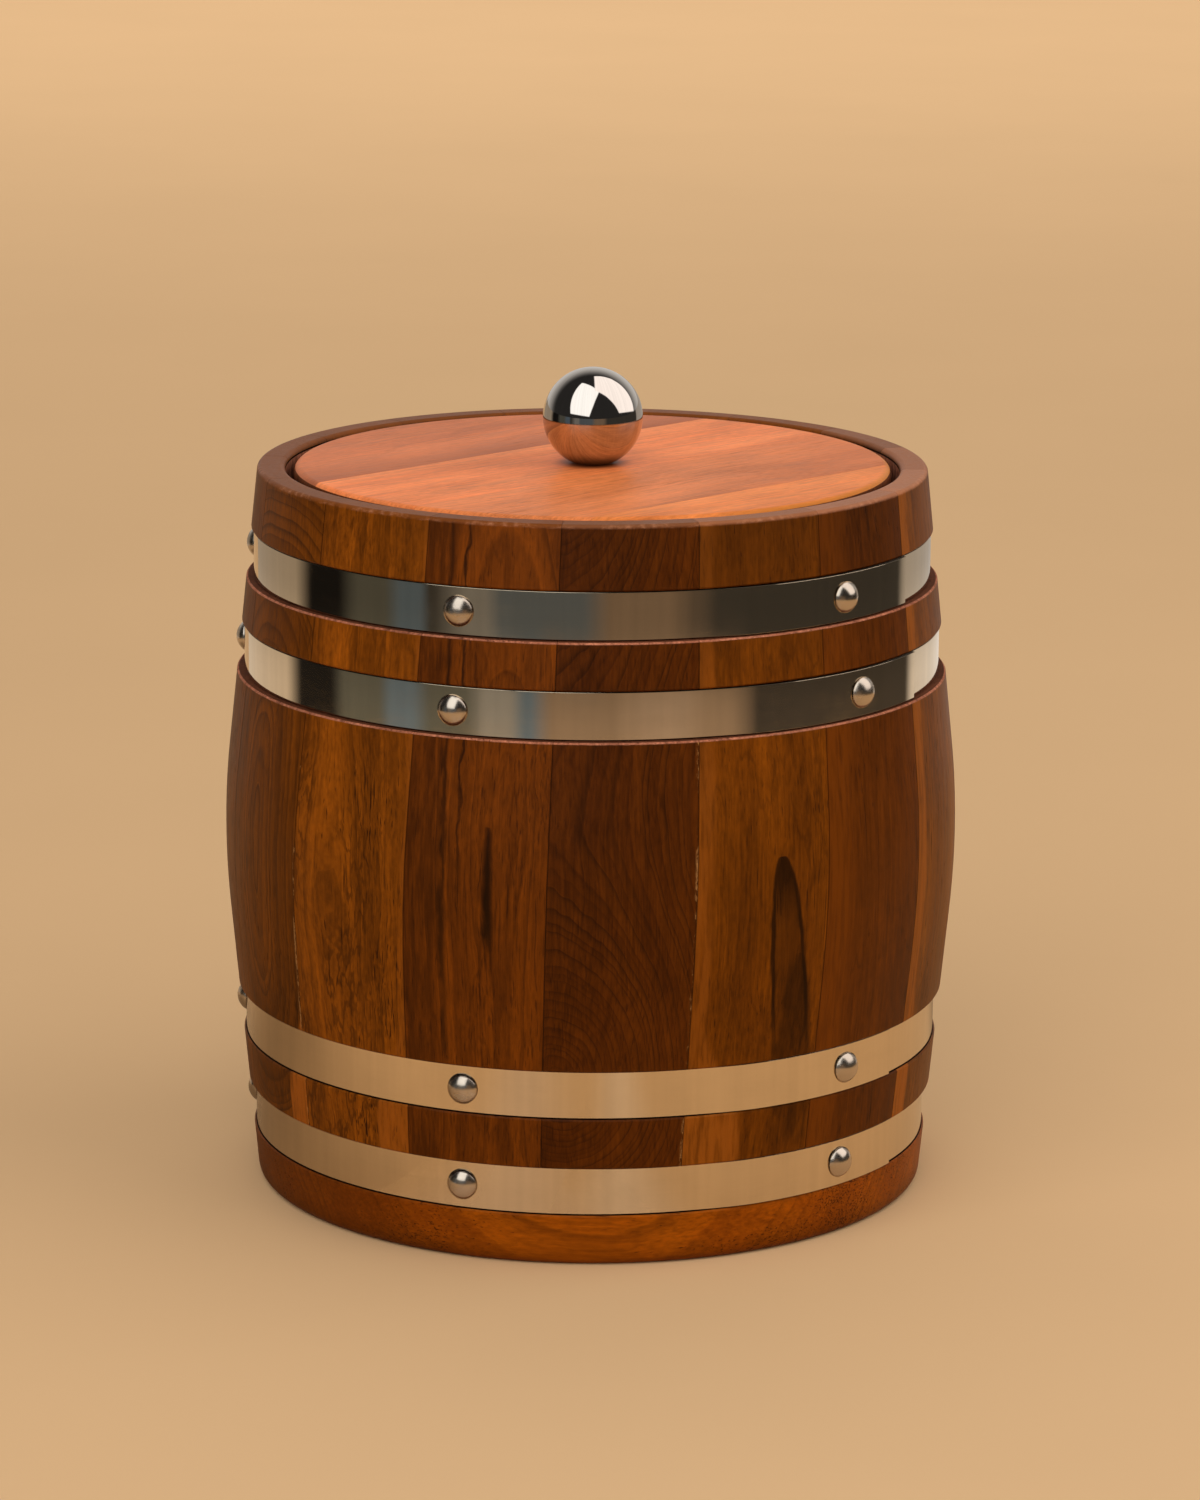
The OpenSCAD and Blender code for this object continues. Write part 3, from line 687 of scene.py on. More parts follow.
def staveMaterial(number):
    material, tree, shader = newMaterial("staveWood%02d" % number)
    turn = stave["firstSeam"] + staveTurn * (number - 0.5)
    place = boardPlace(tree, (0, 0, -radians(turn)))
    look = {**plainLook, **staveLooks[number]}
    seed = number * stave["seedStep"]
    grain = grainOf(tree, place, look, seed)
    colour = grain["Color"]

    grained = {"Position": place, "Seed": seed}
    inset = placeGroup(tree, seamInset, {
        "Position": place, "Half Turn": radians(staveTurn / 2), "Lean": radians(stave["lean"]),
        "Middle Z": barrel["bellyZ"]})
    fromSeam = {"Inset": inset["Inset"], "Turn": inset["Turn"]}
    for strip in [each for each in edgeStrips if each["stave"] == number]:
        mask = placeGroup(tree, edgeStrip, {**grained, **fromSeam}, strip)["Mask"]
        colour = mixColour(tree, times(tree, mask, strip["share"]), colour, tint(*strip["colour"]))
    for mark in [each for each in darkMarks if each["stave"] == number]:
        shape = placeGroup(tree, darkMark, grained, mark)
        for part in ("Fill", "Rim"):
            share = times(tree, shape[part], mark[part.lower()])
            colour = mixColour(tree, share, colour, tint(*markColour))
    fillSide, fillAmount = filledSeams.get(number, noFill)
    seam = placeGroup(tree, seamLine, {
        **grained, **fromSeam, "Fill Side": fillSide, "Fill Amount": fillAmount,
        "Fill Top": hoopList[1]["grooveLow"]})
    colour = mixColour(tree, times(tree, seam["Line"], staveFinish["seam"]), colour, tint(*seamColour))
    colour = mixColour(tree, times(tree, seam["Fill"], staveFinish["fill"]), colour, tint(*fillColour))
    # End grain at the rim; its paler colour on the right-hand staves is painted sheen
    low, high = [barrel["height"] - staveFinish[depth] for depth in ("endGrainFrom", "endGrainTo")]
    endGrain = times(tree, rise(tree, split(tree, place)["Z"], low, high), staveFinish["endGrain"])
    colour = mixColour(tree, endGrain, colour, tint(*look["endGrain"]))
    # pale flecks of wear with painted highlight along the rim and the ledges
    for edge in rubAndHighlightEdges:
        rub = placeGroup(tree, rubbedEdge, {"Position": place}, edge)
        colour = mixColour(tree, times(tree, rub["Mask"], staveFinish["rub"]), colour, tint(*rubAndHighlightColour))
    lacquered(tree, shader, colour, grain)
    return material


# Wood that the lacquer doesn't reach: bare in the bore and on the lips below the upper hoops, the pale lips also a
# painted highlight, browner on the ledges behind those lips and dark elsewhere, both painted shade of the recesses
bareAndHighlightLook = {**plainLook, "lines": 0.3, "pores": 0.8, "figure": 2.2,
            "dark": (98, 54, 37), "middle": (152, 92, 68), "light": (182, 118, 90)}
ledgeShadeLook = {**plainLook, "lines": 0.3, "pores": 0.5,
             "dark": (44, 22, 12), "middle": (86, 47, 29), "light": (106, 60, 39)}
recessShadeLook = {**plainLook, "lines": 0.3, "pores": 0.5,
             "dark": (12, 5, 1), "middle": (22, 9, 2), "light": (30, 13, 4)}
innerFinish = {"roughness": 0.75, "specular": 0.05, "grainStrength": 0.6, "grainDepth": 0.2, "seed": 4.0}


def innerWoodMaterial(name, look):
    material, tree, shader = newMaterial(name)
    grain = grainOf(tree, boardPlace(tree), look, innerFinish["seed"])
    feed(tree, shader["Base Color"], grain["Color"])
    bump = bumpFrom(tree, grain["Height"], innerFinish["grainStrength"], innerFinish["grainDepth"])
    feed(tree, shader["Normal"], bump)
    shader["Roughness"].default_value = innerFinish["roughness"]
    shader["Specular IOR Level"].default_value = innerFinish["specular"]
    return material


# the pale lip wood with its painted highlight, and the painted shade of ledges and recesses
bareWood = innerWoodMaterial("bareWood", bareAndHighlightLook)
stainedWood = innerWoodMaterial("stainedWood", recessShadeLook)
ledgeWood = innerWoodMaterial("ledgeWood", ledgeShadeLook)


def staveOutline():
    bore, top = barrel["boreRadius"], barrel["height"]
    rimCorner, boreCorner = (barrel["rimRadius"], top), (bore, top)
    rim, upper, lower, foot = hoopList
    start = barrel["jointZ"] + barrel["glueLine"]
    outline = [(bore, start), (foot["grooveRadius"], start)] + grooveEnd(foot)
    for below, above in ((foot, lower), (lower, upper), (upper, rim)):
        lip = barrel["grooveLip"]
        outline += outerRun(below["grooveHigh"] + lip, above["grooveLow"] - lip)
        outline += grooveStart(above) + grooveEnd(above)
    outline += outerRun(rim["grooveHigh"] + barrel["grooveLip"], top - barrel["rimOuterRound"])
    outline += roundCorner((woodRadius(rim["z"]), rim["z"]), rimCorner, boreCorner, barrel["rimOuterRound"])
    outline += roundCorner(rimCorner, boreCorner, (bore, start), barrel["rimInnerRound"])
    return outline


# How near to the bore or a groove a face counts as part of it, how far below the turned outline a groove gets painted
# shade, how steep a ledge's lip and its flat are, and how far down from the rim the bore gets painted shade
innerFaces = {"nearBore": 0.1, "nearGroove": 0.3, "below": 0.25, "lip": 0.4, "flat": 0.9, "stainDepth": 14}


# Gives the faces that the lacquer doesn't reach their inner wood, with its painted highlight and painted shade
def sortFaces(piece):
    near = innerFaces["nearGroove"]
    for face in piece.data.polygons:
        radius = sqrt(face.center.x ** 2 + face.center.y ** 2) / mm
        z = face.center.z / mm
        groove = next((each for each in hoopList if each["grooveLow"] - near < z < each["grooveHigh"] + near), None)
        if radius < barrel["boreRadius"] + innerFaces["nearBore"]:
            face.material_index = 1 if z < barrel["height"] - innerFaces["stainDepth"] else 2
        elif groove and groove["paleLedge"] and face.normal.z > innerFaces["lip"]:
            face.material_index = 1 if face.normal.z < innerFaces["flat"] else 3
        elif groove and radius < woodRadius(z) - innerFaces["below"]:
            face.material_index = 2


def makeStaves():
    blank = drawOutline("staveBlank", staveOutline())
    bpy.ops.mesh.edge_face_add()
    gapTurn = stave["seamGap"] / barrel["boreRadius"] * 180 / pi
    spinSelected(stave["steps"], staveTurn - 2 * gapTurn)
    closeMesh()
    lean = radians(stave["lean"] * (barrel["height"] - barrel["jointZ"] - barrel["glueLine"]))
    applyModifier(blank, "SIMPLE_DEFORM", deform_method="TWIST", deform_axis="Z", angle=lean)
    softenEdges(blank, stave["edgeSoft"])
    smoothFaces(blank)
    for number in range(1, stave["count"] + 1):
        piece = copyOf(blank, "stave%02d" % number)
        turn = stave["firstSeam"] + staveTurn * (number - 1) + gapTurn - stave["lean"] * barrel["bellyZ"]
        putDown(piece, Matrix.Rotation(radians(turn), 4, "Z"))
        dress(piece, staveMaterial(number), bareWood, stainedWood, ledgeWood)
        sortFaces(piece)
        standFor(piece, "stave_%02d" % number, "barrel")
    discard(blank)
    print("staves done")


# Base board
baseLook = {**plainLook, "seed": 3.3, "pith": (30, 40, 0), "lean": (0.03, 0.0, 0), "ringWidth": 4.0,
            "wander": 9, "curl": 1.5, "lines": 0.7, "veins": 0.15, "veinScale": 0.08, "pores": 0.75, "poreSpread": 0.7,
            "dark": (62, 26, 1), "middle": (138, 65, 2), "light": (154, 78, 4)}
# Painted shade on the base board: it is darker at the left, at the right and at the foot
baseShadePaint = [{"axis": "X", "from": -5.0, "to": -70.0, "share": 0.6},
             {"axis": "X", "from": 25.0, "to": 60.0, "share": 0.15},
             {"axis": "Z", "from": 6.5, "to": 0.5, "share": 0.5}]


def baseMaterial():
    material, tree, shader = newMaterial("baseWood")
    place = boardPlace(tree, (0, -pi / 2, 0))  # the grain runs from side to side
    grain = grainOf(tree, place, baseLook, baseLook["seed"])
    colour = grain["Color"]
    upright = split(tree, boardPlace(tree))
    # each mixes in the dark wood colour as painted shade
    for dusk in baseShadePaint:
        share = times(tree, rise(tree, upright[dusk["axis"]], dusk["from"], dusk["to"]), dusk["share"])
        colour = mixColour(tree, share, colour, tint(*baseLook["dark"]))
    lacquered(tree, shader, colour, grain)
    return material


def makeBase():
    foot = hoopList[-1]
    joint, top = barrel["jointZ"], barrel["spigotTop"]
    footCorner = (barrel["footRadius"], 0.0)
    wall = (woodRadius(foot["grooveLow"]), foot["grooveLow"])
    outline = [(0.0, 0.0)] + roundCorner((0, 0), footCorner, wall, barrel["footRound"])
    outline += outerRun(barrel["footRound"], foot["grooveLow"] - barrel["grooveLip"], 3.0)
    outline += grooveStart(foot) + [(foot["grooveRadius"], joint), (barrel["spigotRadius"], joint),
                                    (barrel["spigotRadius"], top), (0.0, top)]
    piece = drawOutline("baseBoard", outline)
    spinSelected(stave["count"] * stave["steps"])
    closeMesh()
    softenEdges(piece, stave["edgeSoft"])
    smoothFaces(piece)
    dress(piece, baseMaterial(), bareWood, stainedWood)
    sortFaces(piece)
    standFor(piece, "base_board", "barrel")
    print("base board done")


# Polished steel
def steelMaterial(name, look):
    material, tree, shader = newMaterial(name)
    polish = placeGroup(tree, hoopPolish, {"Position": boardPlace(tree)}, look)
    feed(tree, shader["Base Color"], stretchBy(tree, tint(*look["colour"])[:3], polish["Tone"]))
    feed(tree, shader["Roughness"], plus(tree, polish["Roughness"], look["roughness"], clamp=True))
    feed(tree, shader["Normal"], bumpFrom(tree, polish["Height"], look["waviness"], 1.0))
    shader["Metallic"].default_value = 1.0
    return material


hoopLook = {"seed": 2.0, "lines": 0.5, "smudges": 0.4, "roughness": 0.06, "waviness": 0.06,
            "colour": (213, 195, 169)}
# Darker, duller steel for the hoops' edges: partly their own dull steel, partly painted shade of the groove gaps
dullShadedEdgeLook = {"seed": 3.0, "lines": 0.3, "smudges": 0.8, "roughness": 0.5, "waviness": 0.1,
                "colour": (84, 74, 62)}


def makeHoops():
    steel, shadedEdgeSteel = steelMaterial("hoopSteel", hoopLook), steelMaterial("hoopEdge", dullShadedEdgeLook)
    for each in hoopList:
        half, outer = hoop["width"] / 2, each["radius"]
        inner = outer - hoop["thick"]
        low, high = each["z"] - half, each["z"] + half
        section = [(inner, low), (outer, low), (outer, high), (inner, high)]
        piece = drawOutline(each["node"].split("_")[0] + "Hoop", section)
        bpy.ops.mesh.edge_face_add()
        buried = each["lapNail"] - hoop["tail"]
        plain = 360 - hoop["climb"] - hoop["step"]
        spinSelected(round(plain / hoop["step"]), plain)
        climbSteps = hoop["climb"]
        for i in range(climbSteps):  # the strip climbs on to its own buried end
            spinSelected(1, hoop["climb"] / climbSteps)
            turn = plain + hoop["climb"] * (i + 1) / climbSteps
            shares = [t * t * (3 - 2 * t) for t in (i / climbSteps, (i + 1) / climbSteps)]
            bpy.ops.transform.translate(value=atTurn((shares[1] - shares[0]) * hoop["lapRise"], turn, 0))
        lap = each["freeEnd"] - buried + hoop["step"]
        spinSelected(round(lap / hoop["step"]), lap)
        closeMesh()
        softenEdges(piece, hoop["edgeSoft"], hoop["edgeSegments"])
        smoothFaces(piece, 30)
        putDown(piece, Matrix.Rotation(radians(buried), 4, "Z"))
        dress(piece, steel, shadedEdgeSteel)
        # The sheared edges are dull steel and darker, partly as painted shade of the gaps above and below the hoop
        for face in piece.data.polygons:  # the sheared edges are dull
            face.material_index = 1 if abs(face.normal.z) > hoop["dullFrom"] else 0
        standFor(piece, each["node"], "barrel")
    print("hoops done")


# Dome-headed nails
nail = {"headRadius": 3.9, "headHeight": 2.5, "brim": 0.25, "shankRadius": 1.0, "shankLength": 5.0, "point": 1.6,
        "brimSoft": (0.1, 0.08), "count": 5, "seatGap": 0.03, "tilts": (1.5, -1.0, 0.8, -1.6, 1.1),
        "domeSteps": 14, "segments": 48}
nailLook = {"seed": 5.0, "lines": 0.25, "smudges": 0.8, "roughness": 0.22, "waviness": 0.25,
            "colour": (190, 177, 162)}


# Three nails sit where the photograph shows them, the others are spread round the back
def nailTurns(each):
    free = 360 - (each["lapNail"] - each["leftNail"])
    back = [each["leftNail"] - i * free / (nail["count"] - 2) for i in range(1, nail["count"] - 2)]
    return [each["lapNail"], each["frontNail"], each["leftNail"]] + back


def makeNails():
    head, brim = nail["headRadius"], nail["brim"]
    domeHeight = nail["headHeight"] - brim
    domeRadius = (head ** 2 + domeHeight ** 2) / (2 * domeHeight)
    sweep = acos((domeRadius - domeHeight) / domeRadius)
    steps = nail["domeSteps"]
    dome = [(domeRadius * sin(a), brim + domeHeight - domeRadius + domeRadius * cos(a))
            for a in [sweep * i / steps for i in range(steps + 1)]]
    shank, length = nail["shankRadius"], nail["shankLength"]
    softIn, softUp = nail["brimSoft"]
    outline = dome + [(head, softUp), (head - softIn, 0.0), (shank, 0.0), (shank, nail["point"] - length),
                      (0.0, -length)]
    blank = drawOutline("nailBlank", outline)
    spinSelected(nail["segments"])
    closeMesh()
    smoothFaces(blank, 40)
    steel = steelMaterial("nailSteel", nailLook)
    for each in hoopList:
        row = []
        for index, turn in enumerate(nailTurns(each)):
            piece = copyOf(blank, each["node"] + "_nail%d" % index)
            seat = each["radius"] + nail["seatGap"] + (hoop["lapRise"] if index == 0 else 0)
            lean = radians(nail["tilts"][index])
            putDown(piece, Matrix.Translation(atTurn(seat, turn, each["z"])) @ Matrix.Rotation(radians(turn), 4, "Z")
                    @ Matrix.Rotation(pi / 2 + lean, 4, "X"))
            row.append(piece)
        deselectAll()
        for piece in row:
            piece.select_set(True)
        bpy.context.view_layer.objects.active = row[0]
        bpy.ops.object.join()
        row[0].name = row[0].data.name = each["node"].split("_")[0] + "HoopNails"
        dress(row[0], steel)
        standFor(row[0], each["node"] + "_nails", "barrel")
    discard(blank)
    print("nails done")


# Steel liner
liner = {"wall": 0.8, "innerRadius": 73.9, "cornerRadius": 9.2, "floorZ": 21.6,
         "beadRadius": 1.8, "beadZ": 171.3, "beadRoll": 285,
         "floorRing": 20, "sideSteps": 10, "beadSteps": 24, "segments": 144}
linerLook = {"seed": 8.0, "lines": 1.0, "smudges": 0.2, "roughness": 0.24, "waviness": 0.02,
             "colour": (208, 206, 202)}


def makeLiner():
    inside, corner = liner["innerRadius"], liner["cornerRadius"]
    start, steps = liner["floorZ"] + corner, liner["sideSteps"]
    outline = [(0.0, liner["floorZ"]), (inside - corner - liner["floorRing"], liner["floorZ"])]
    outline += arcPoints((inside - corner, start), corner, -pi / 2, pi / 2, steps)
    outline += [(inside, start + (liner["beadZ"] - start) * i / steps) for i in range(1, steps)]
    bead = (inside + liner["beadRadius"], liner["beadZ"])
    outline += arcPoints(bead, liner["beadRadius"], pi, -radians(liner["beadRoll"]), liner["beadSteps"])
    piece = drawOutline("steelLiner", outline)
    spinSelected(liner["segments"])
    closeMesh()
    applyModifier(piece, "SOLIDIFY", thickness=liner["wall"] * mm, offset=-1.0)  # behind the side that shows
    smoothFaces(piece, 40)
    dress(piece, steelMaterial("linerSteel", linerLook))
    standFor(piece, "liner", "liner")
    print("liner done")


# Lid
lid = {"radius": 75.8, "under": 173.4, "top": 185.4, "topRound": 2.0, "underRound": 1.0,
       "holeRadius": 2.25, "counterboreRadius": 5.6, "counterboreTop": 177.24,
       "grainTurn": 45, "joints": (27, -13, -53), "glueLine": 0.05, "edgeSoft": 0.06,
       "sideDepth": 0.9, "segments": 180, "firstSeed": 50.0, "seedStep": 7.3}
lidLooks = [
    {"pith": (-20, 120, 0), "dark": (150, 78, 44), "middle": (207, 114, 66), "light": (220, 129, 78),
     "jointDusk": 0.55},
    {"pith": (40, 130, 0), "dark": (200, 98, 48), "middle": (238, 129, 70), "light": (250, 149, 88)},
    {"pith": (-60, 110, 0), "dark": (178, 92, 50), "middle": (219, 123, 68), "light": (230, 136, 81),
     "rightDusk": 0.4},
    {"pith": (30, 140, 0), "dark": (196, 100, 48), "middle": (224, 124, 62), "light": (236, 142, 76)},
]
lidGrain = {"lean": (0.02, 0.0, 0), "bow": (0, 0, 0), "ringWidth": 9.0, "wander": 20, "curl": 1.5,
            "lines": 0.22, "streaks": 0.55, "veins": 0.12, "veinScale": 0.06,
            "knot": (0, 0, 0), "knotSize": 8, "knotPull": 0, "pores": 0.3, "poreSpread": 0.6,
            "fibres": 0.9, "figure": 0.4, "figureTop": 400, "jointDusk": 0.0, "rightDusk": 0.0}
# The darkening at the right of a board is painted shade
lidDusk = {"jointWidth": 24.0, "fromX": 20.0, "toX": 70.0}  # where boards get darker: along a joint, at the right
lidEdge = {"from": 73.6, "to": 75.2, "share": 0.65, "colour": (186, 116, 36),
           "fromX": 22.0, "toX": 48.0}  # golden on the right
# Darker wood for the lid's round side: end grain, and painted shade of the gap between lid and rim
lidSideShadeLook = {**plainLook, "lines": 0.3, "pores": 0.5,
               "dark": (58, 28, 13), "middle": (92, 48, 25), "light": (110, 60, 33)}
# Painted shade on the lid round the knob's foot, where the ball shades it
lidFootShade = {"from": 11.0, "to": 5.0, "share": 0.85, "colour": (74, 30, 10)}  # darker round the knob's foot


def lidMaterial(number):
    material, tree, shader = newMaterial("lidWood%d" % number)
    turned = boardPlace(tree, (0, 0, -radians(lid["grainTurn"])))
    place = put(tree, "Mapping", {"Vector": turned, "Rotation": (0, -pi / 2, 0)}).outputs["Vector"]
    look = {**lidGrain, **lidLooks[number - 1]}
    grain = grainOf(tree, place, look, lid["firstSeed"] + lid["seedStep"] * number)
    colour = grain["Color"]
    x, y = split(tree, turned)["X"], split(tree, turned)["Y"]
    if number < len(lidLooks):  # darker along the joint with the next board
        joint = lid["joints"][number - 1]
        dusk = times(tree, rise(tree, y, joint + lidDusk["jointWidth"], joint), look["jointDusk"])
        colour = mixColour(tree, dusk, colour, tint(*look["dark"]))
    radius = slopeOf(tree, x, y)
    right = split(tree, boardPlace(tree))["X"]
    # painted shade towards the right of the lid
    dusk = times(tree, rise(tree, right, lidDusk["fromX"], lidDusk["toX"]), look["rightDusk"])
    colour = mixColour(tree, dusk, colour, tint(*look["dark"]))
    # painted shade round the knob's foot
    foot = times(tree, rise(tree, radius, lidFootShade["from"], lidFootShade["to"]), lidFootShade["share"])
    colour = mixColour(tree, foot, colour, tint(*lidFootShade["colour"]))
    edge = times(tree, rise(tree, radius, lidEdge["from"], lidEdge["to"]), lidEdge["share"])
    edge = times(tree, edge, rise(tree, right, lidEdge["fromX"], lidEdge["toX"]))
    lacquered(tree, shader, mixColour(tree, edge, colour, tint(*lidEdge["colour"])), grain)
    return material


def makeLid():
    sideShadeWood = innerWoodMaterial("lidSideWood", lidSideShadeLook)
    under, top, edge = lid["under"], lid["top"], lid["radius"]
    hole, bore, shoulder = lid["holeRadius"], lid["counterboreRadius"], lid["counterboreTop"]
    outline = [(bore, under), (edge / 2, under)]
    outline += roundCorner((0, under), (edge, under), (edge, top), lid["underRound"])
    outline += roundCorner((edge, under), (edge, top), (0, top), lid["topRound"], 8)
    outline += [(edge / 2, top), (hole, top), (hole, shoulder), (bore, shoulder), (bore, under)]
    blank = drawOutline("lidBlank", outline)
    spinSelected(lid["segments"])
    closeMesh()
    grainTurn = radians(lid["grainTurn"])
    across = Vector((-sin(grainTurn), cos(grainTurn), 0))
    far = edge + 10
    highs = [far] + list(lid["joints"])
    lows = [joint + lid["glueLine"] for joint in lid["joints"]] + [-far]
    for number, (high, low) in enumerate(zip(highs, lows), 1):
        piece = copyOf(blank, "lidBoard%d" % number)
        bpy.ops.object.mode_set(mode="EDIT")
        for place, keepBelow in ((high, True), (low, False)):
            if abs(place) < edge:
                bpy.ops.mesh.select_all(action="SELECT")
                bpy.ops.mesh.bisect(plane_co=across * place * mm, plane_no=across, use_fill=True,
                                    clear_outer=keepBelow, clear_inner=not keepBelow)
        closeMesh()
        softenEdges(piece, lid["edgeSoft"])
        smoothFaces(piece)
        dress(piece, lidMaterial(number), sideShadeWood)
        # the darker side is partly painted shade of the gap round the lid
        for face in piece.data.polygons:  # the round side is darker than the top
            if abs(face.normal.z) < 0.5 and face.center.to_2d().length > (edge - lid["sideDepth"]) * mm:
                face.material_index = 1
        standFor(piece, "lid_board_%d" % number, "lid")
    discard(blank)
    print("lid done")


# Ball knob with its screw and washer
knob = {"diameter": 25.38, "centreZ": 197.22, "seatZ": 185.43, "segments": 128, "rings": 64, "edgeSoft": 0.25}
knobLook = {"seed": 11.0, "lines": 0.05, "smudges": 0.25, "roughness": 0.035, "waviness": 0.02,
            "colour": (200, 192, 184)}
fastenerLook = {"seed": 14.0, "lines": 0.4, "smudges": 0.6, "roughness": 0.25, "waviness": 0.05,
                "colour": (186, 184, 178)}


def makeKnob():
    deselectAll()
    bpy.ops.mesh.primitive_uv_sphere_add(
        segments=knob["segments"], ring_count=knob["rings"], radius=knob["diameter"] / 2 * mm,
        location=(0, 0, knob["centreZ"] * mm))
    piece = bpy.context.object
    piece.name = piece.data.name = "ballKnob"
    bpy.ops.object.transform_apply(location=True)
    bpy.ops.object.mode_set(mode="EDIT")
    bpy.ops.mesh.select_all(action="SELECT")
    bpy.ops.mesh.bisect(plane_co=(0, 0, knob["seatZ"] * mm), plane_no=(0, 0, 1), use_fill=True, clear_inner=True)
    closeMesh()
    softenEdges(piece, knob["edgeSoft"], 3, 25)
    smoothFaces(piece, 30)
    dress(piece, steelMaterial("knobSteel", knobLook))
    standFor(piece, "knob", "lid")
    fastenerSteel = steelMaterial("fastenerSteel", fastenerLook)
    for name in ("knob_screw", "knob_washer"):
        dress(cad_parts[name], fastenerSteel)
    print("knob done")


makeStaves()
makeBase()
makeHoops()
makeNails()
makeLiner()
makeLid()
makeKnob()


# Floor, lamps and camera
studio = {
    "floorSize": 40.0, "floorColour": (220, 181, 136), "floorRoughness": 0.6, "floorMottle": 0.06,
    "ambient": (0.45, 0.44, 0.43, 1), "lampColour": (1.0, 0.97, 0.93),
    "mirrorDark": (0.03, 0.029, 0.028, 1), "mirrorLight": (0.7, 0.68, 0.65, 1),
    "mirrorFrom": (0, 0.9, -0.35), "mirrorRise": (0.1, 0.75),
}
lamps = [
    {"name": "leftLamp", "place": (-0.42, -0.91, 1.2), "aim": (0, 0, 1.2), "size": (1.15, 2.0), "watts": 10.0},
    {"name": "rightLamp", "place": (0.97, -0.23, 1.15), "aim": (0, 0, 1.15), "size": (1.8, 1.8), "watts": 11.0},
    {"name": "frontFill", "place": (0.2, -2.2, 0.9), "aim": (0, 0, 0.1), "size": (2.2, 1.2), "watts": 8.0},
    {"name": "backLight", "place": (0, 3.2, 1.9), "aim": (0, 3.0, 0), "size": (4.5, 2.0), "watts": 45.0},
]
# Two bright panels that only reflections see: each edge is a plane through the middle, given by the way it faces
mirrorPanels = [
    {"edges": [(0.59, -0.74, 0.33), (-0.68, -0.73, -0.09), (-0.94, 0.17, 0.3), (0.14, 0.12, 0.98)],
     "colour": (1.74, 1.77, 1.77, 1)},
    {"edges": [(1, 0.05, -0.03), (0.32, -0.85, 0.43), (-0.12, 0.16, 0.98), (0.37, 0.89, 0.28)],
     "colour": (1.69, 1.59, 1.54, 1)},
]
panelSoft = 0.04
# A low card round the front that only reflections see, painted in plain upright panels in two rows
card = {"radius": 0.6, "height": 0.24, "fromTurn": -150, "toTurn": 172, "steps": 96, "rowsMeet": (0.035, 0.047),
        "level": 1.5, "levelDrop": 0.7, "dropRise": (0.012, 0.055),
        "lowRow": [(-150, -112, "dimSide"), (-104, -88, "black"), (-82, -68, "grey"), (-64, -56, "slate"),
                   (-50, -38, "grey"), (-32, -24, "pale"), (-20, -18, "slate"), (-12, 6, "warm"), (16, 28, "glow"),
                   (34, 37, "warm"), (46, 117, "coal"), (121, 172, "paleSide")],
        "highRow": [(-150, -112, "dimSide"), (-103, -88, "black"), (-80, -68, "grey"), (-62, -55, "slate"),
                    (-52, -50, "charcoal"), (-40, -33, "pale"), (-28, -2, "steelGrey"), (6, 25, "warm"),
                    (33, 117, "charcoal"), (121, 172, "paleSide")],
        "tones": {"paleSide": (198, 188, 176), "dimSide": (184, 168, 148), "black": (30, 28, 26),
                  "grey": (92, 91, 82), "steelGrey": (100, 106, 110), "slate": (96, 110, 122),
                  "pale": (138, 134, 128), "warm": (138, 116, 95), "glow": (152, 130, 110),
                  "charcoal": (70, 66, 60), "coal": (62, 56, 49)}}
# Soft light and dark strips on the floor round the bucket, also for reflections only
stripShape = {"lift": 0.0008, "softEnd": 0.06}
paleStrip, dimStrip = (255, 246, 234), (70, 52, 34)
floorStrips = [
    {"name": "lightStrip", "turn": 8, "middle": 0.215, "length": 0.31, "width": 0.075, "share": 0.17,
     "colour": paleStrip},
    {"name": "greyStrip", "turn": -17, "middle": 0.215, "length": 0.31, "width": 0.13, "share": 0.16,
     "colour": (226, 216, 210)},
    {"name": "darkStrip", "turn": -104, "middle": 0.19, "length": 0.33, "width": 0.4, "share": 0.55,
     "colour": (70, 44, 20)},
    {"name": "darkStripRight", "turn": 148, "middle": 0.2, "length": 0.25, "width": 0.16, "share": 0.6,
     "colour": dimStrip},
    {"name": "lightStripBack", "turn": 182, "middle": 0.2, "length": 0.25, "width": 0.1, "share": 0.4,
     "colour": paleStrip},
    {"name": "darkStripBack", "turn": 214, "middle": 0.2, "length": 0.25, "width": 0.14, "share": 0.6,
     "colour": dimStrip},
]
# Fitted to the photograph with perspective
photoCamera = {"lens": 130.7276, "sensor": 36, "clipEnd": 50, "place": (0, -1.3640715, 0.4283974),
               "turn": -0.0016895, "tilt": 0.2289931, "roll": 0.005776}


def floorMaterial():
    material, tree, shader = newMaterial("paleFloor")
    place = put(tree, "TexCoord").outputs["Object"]
    mottle = noiseOf(tree, place, (6, 6, 6), 1.0, 4)[0]
    shade = plus(tree, times(tree, mottle, studio["floorMottle"]), 1 - studio["floorMottle"] / 2)
    feed(tree, shader["Base Color"], stretchBy(tree, tint(*studio["floorColour"])[:3], shade))
    shader["Roughness"].default_value = studio["floorRoughness"]
    shader["Specular IOR Level"].default_value = 0.0
    return material


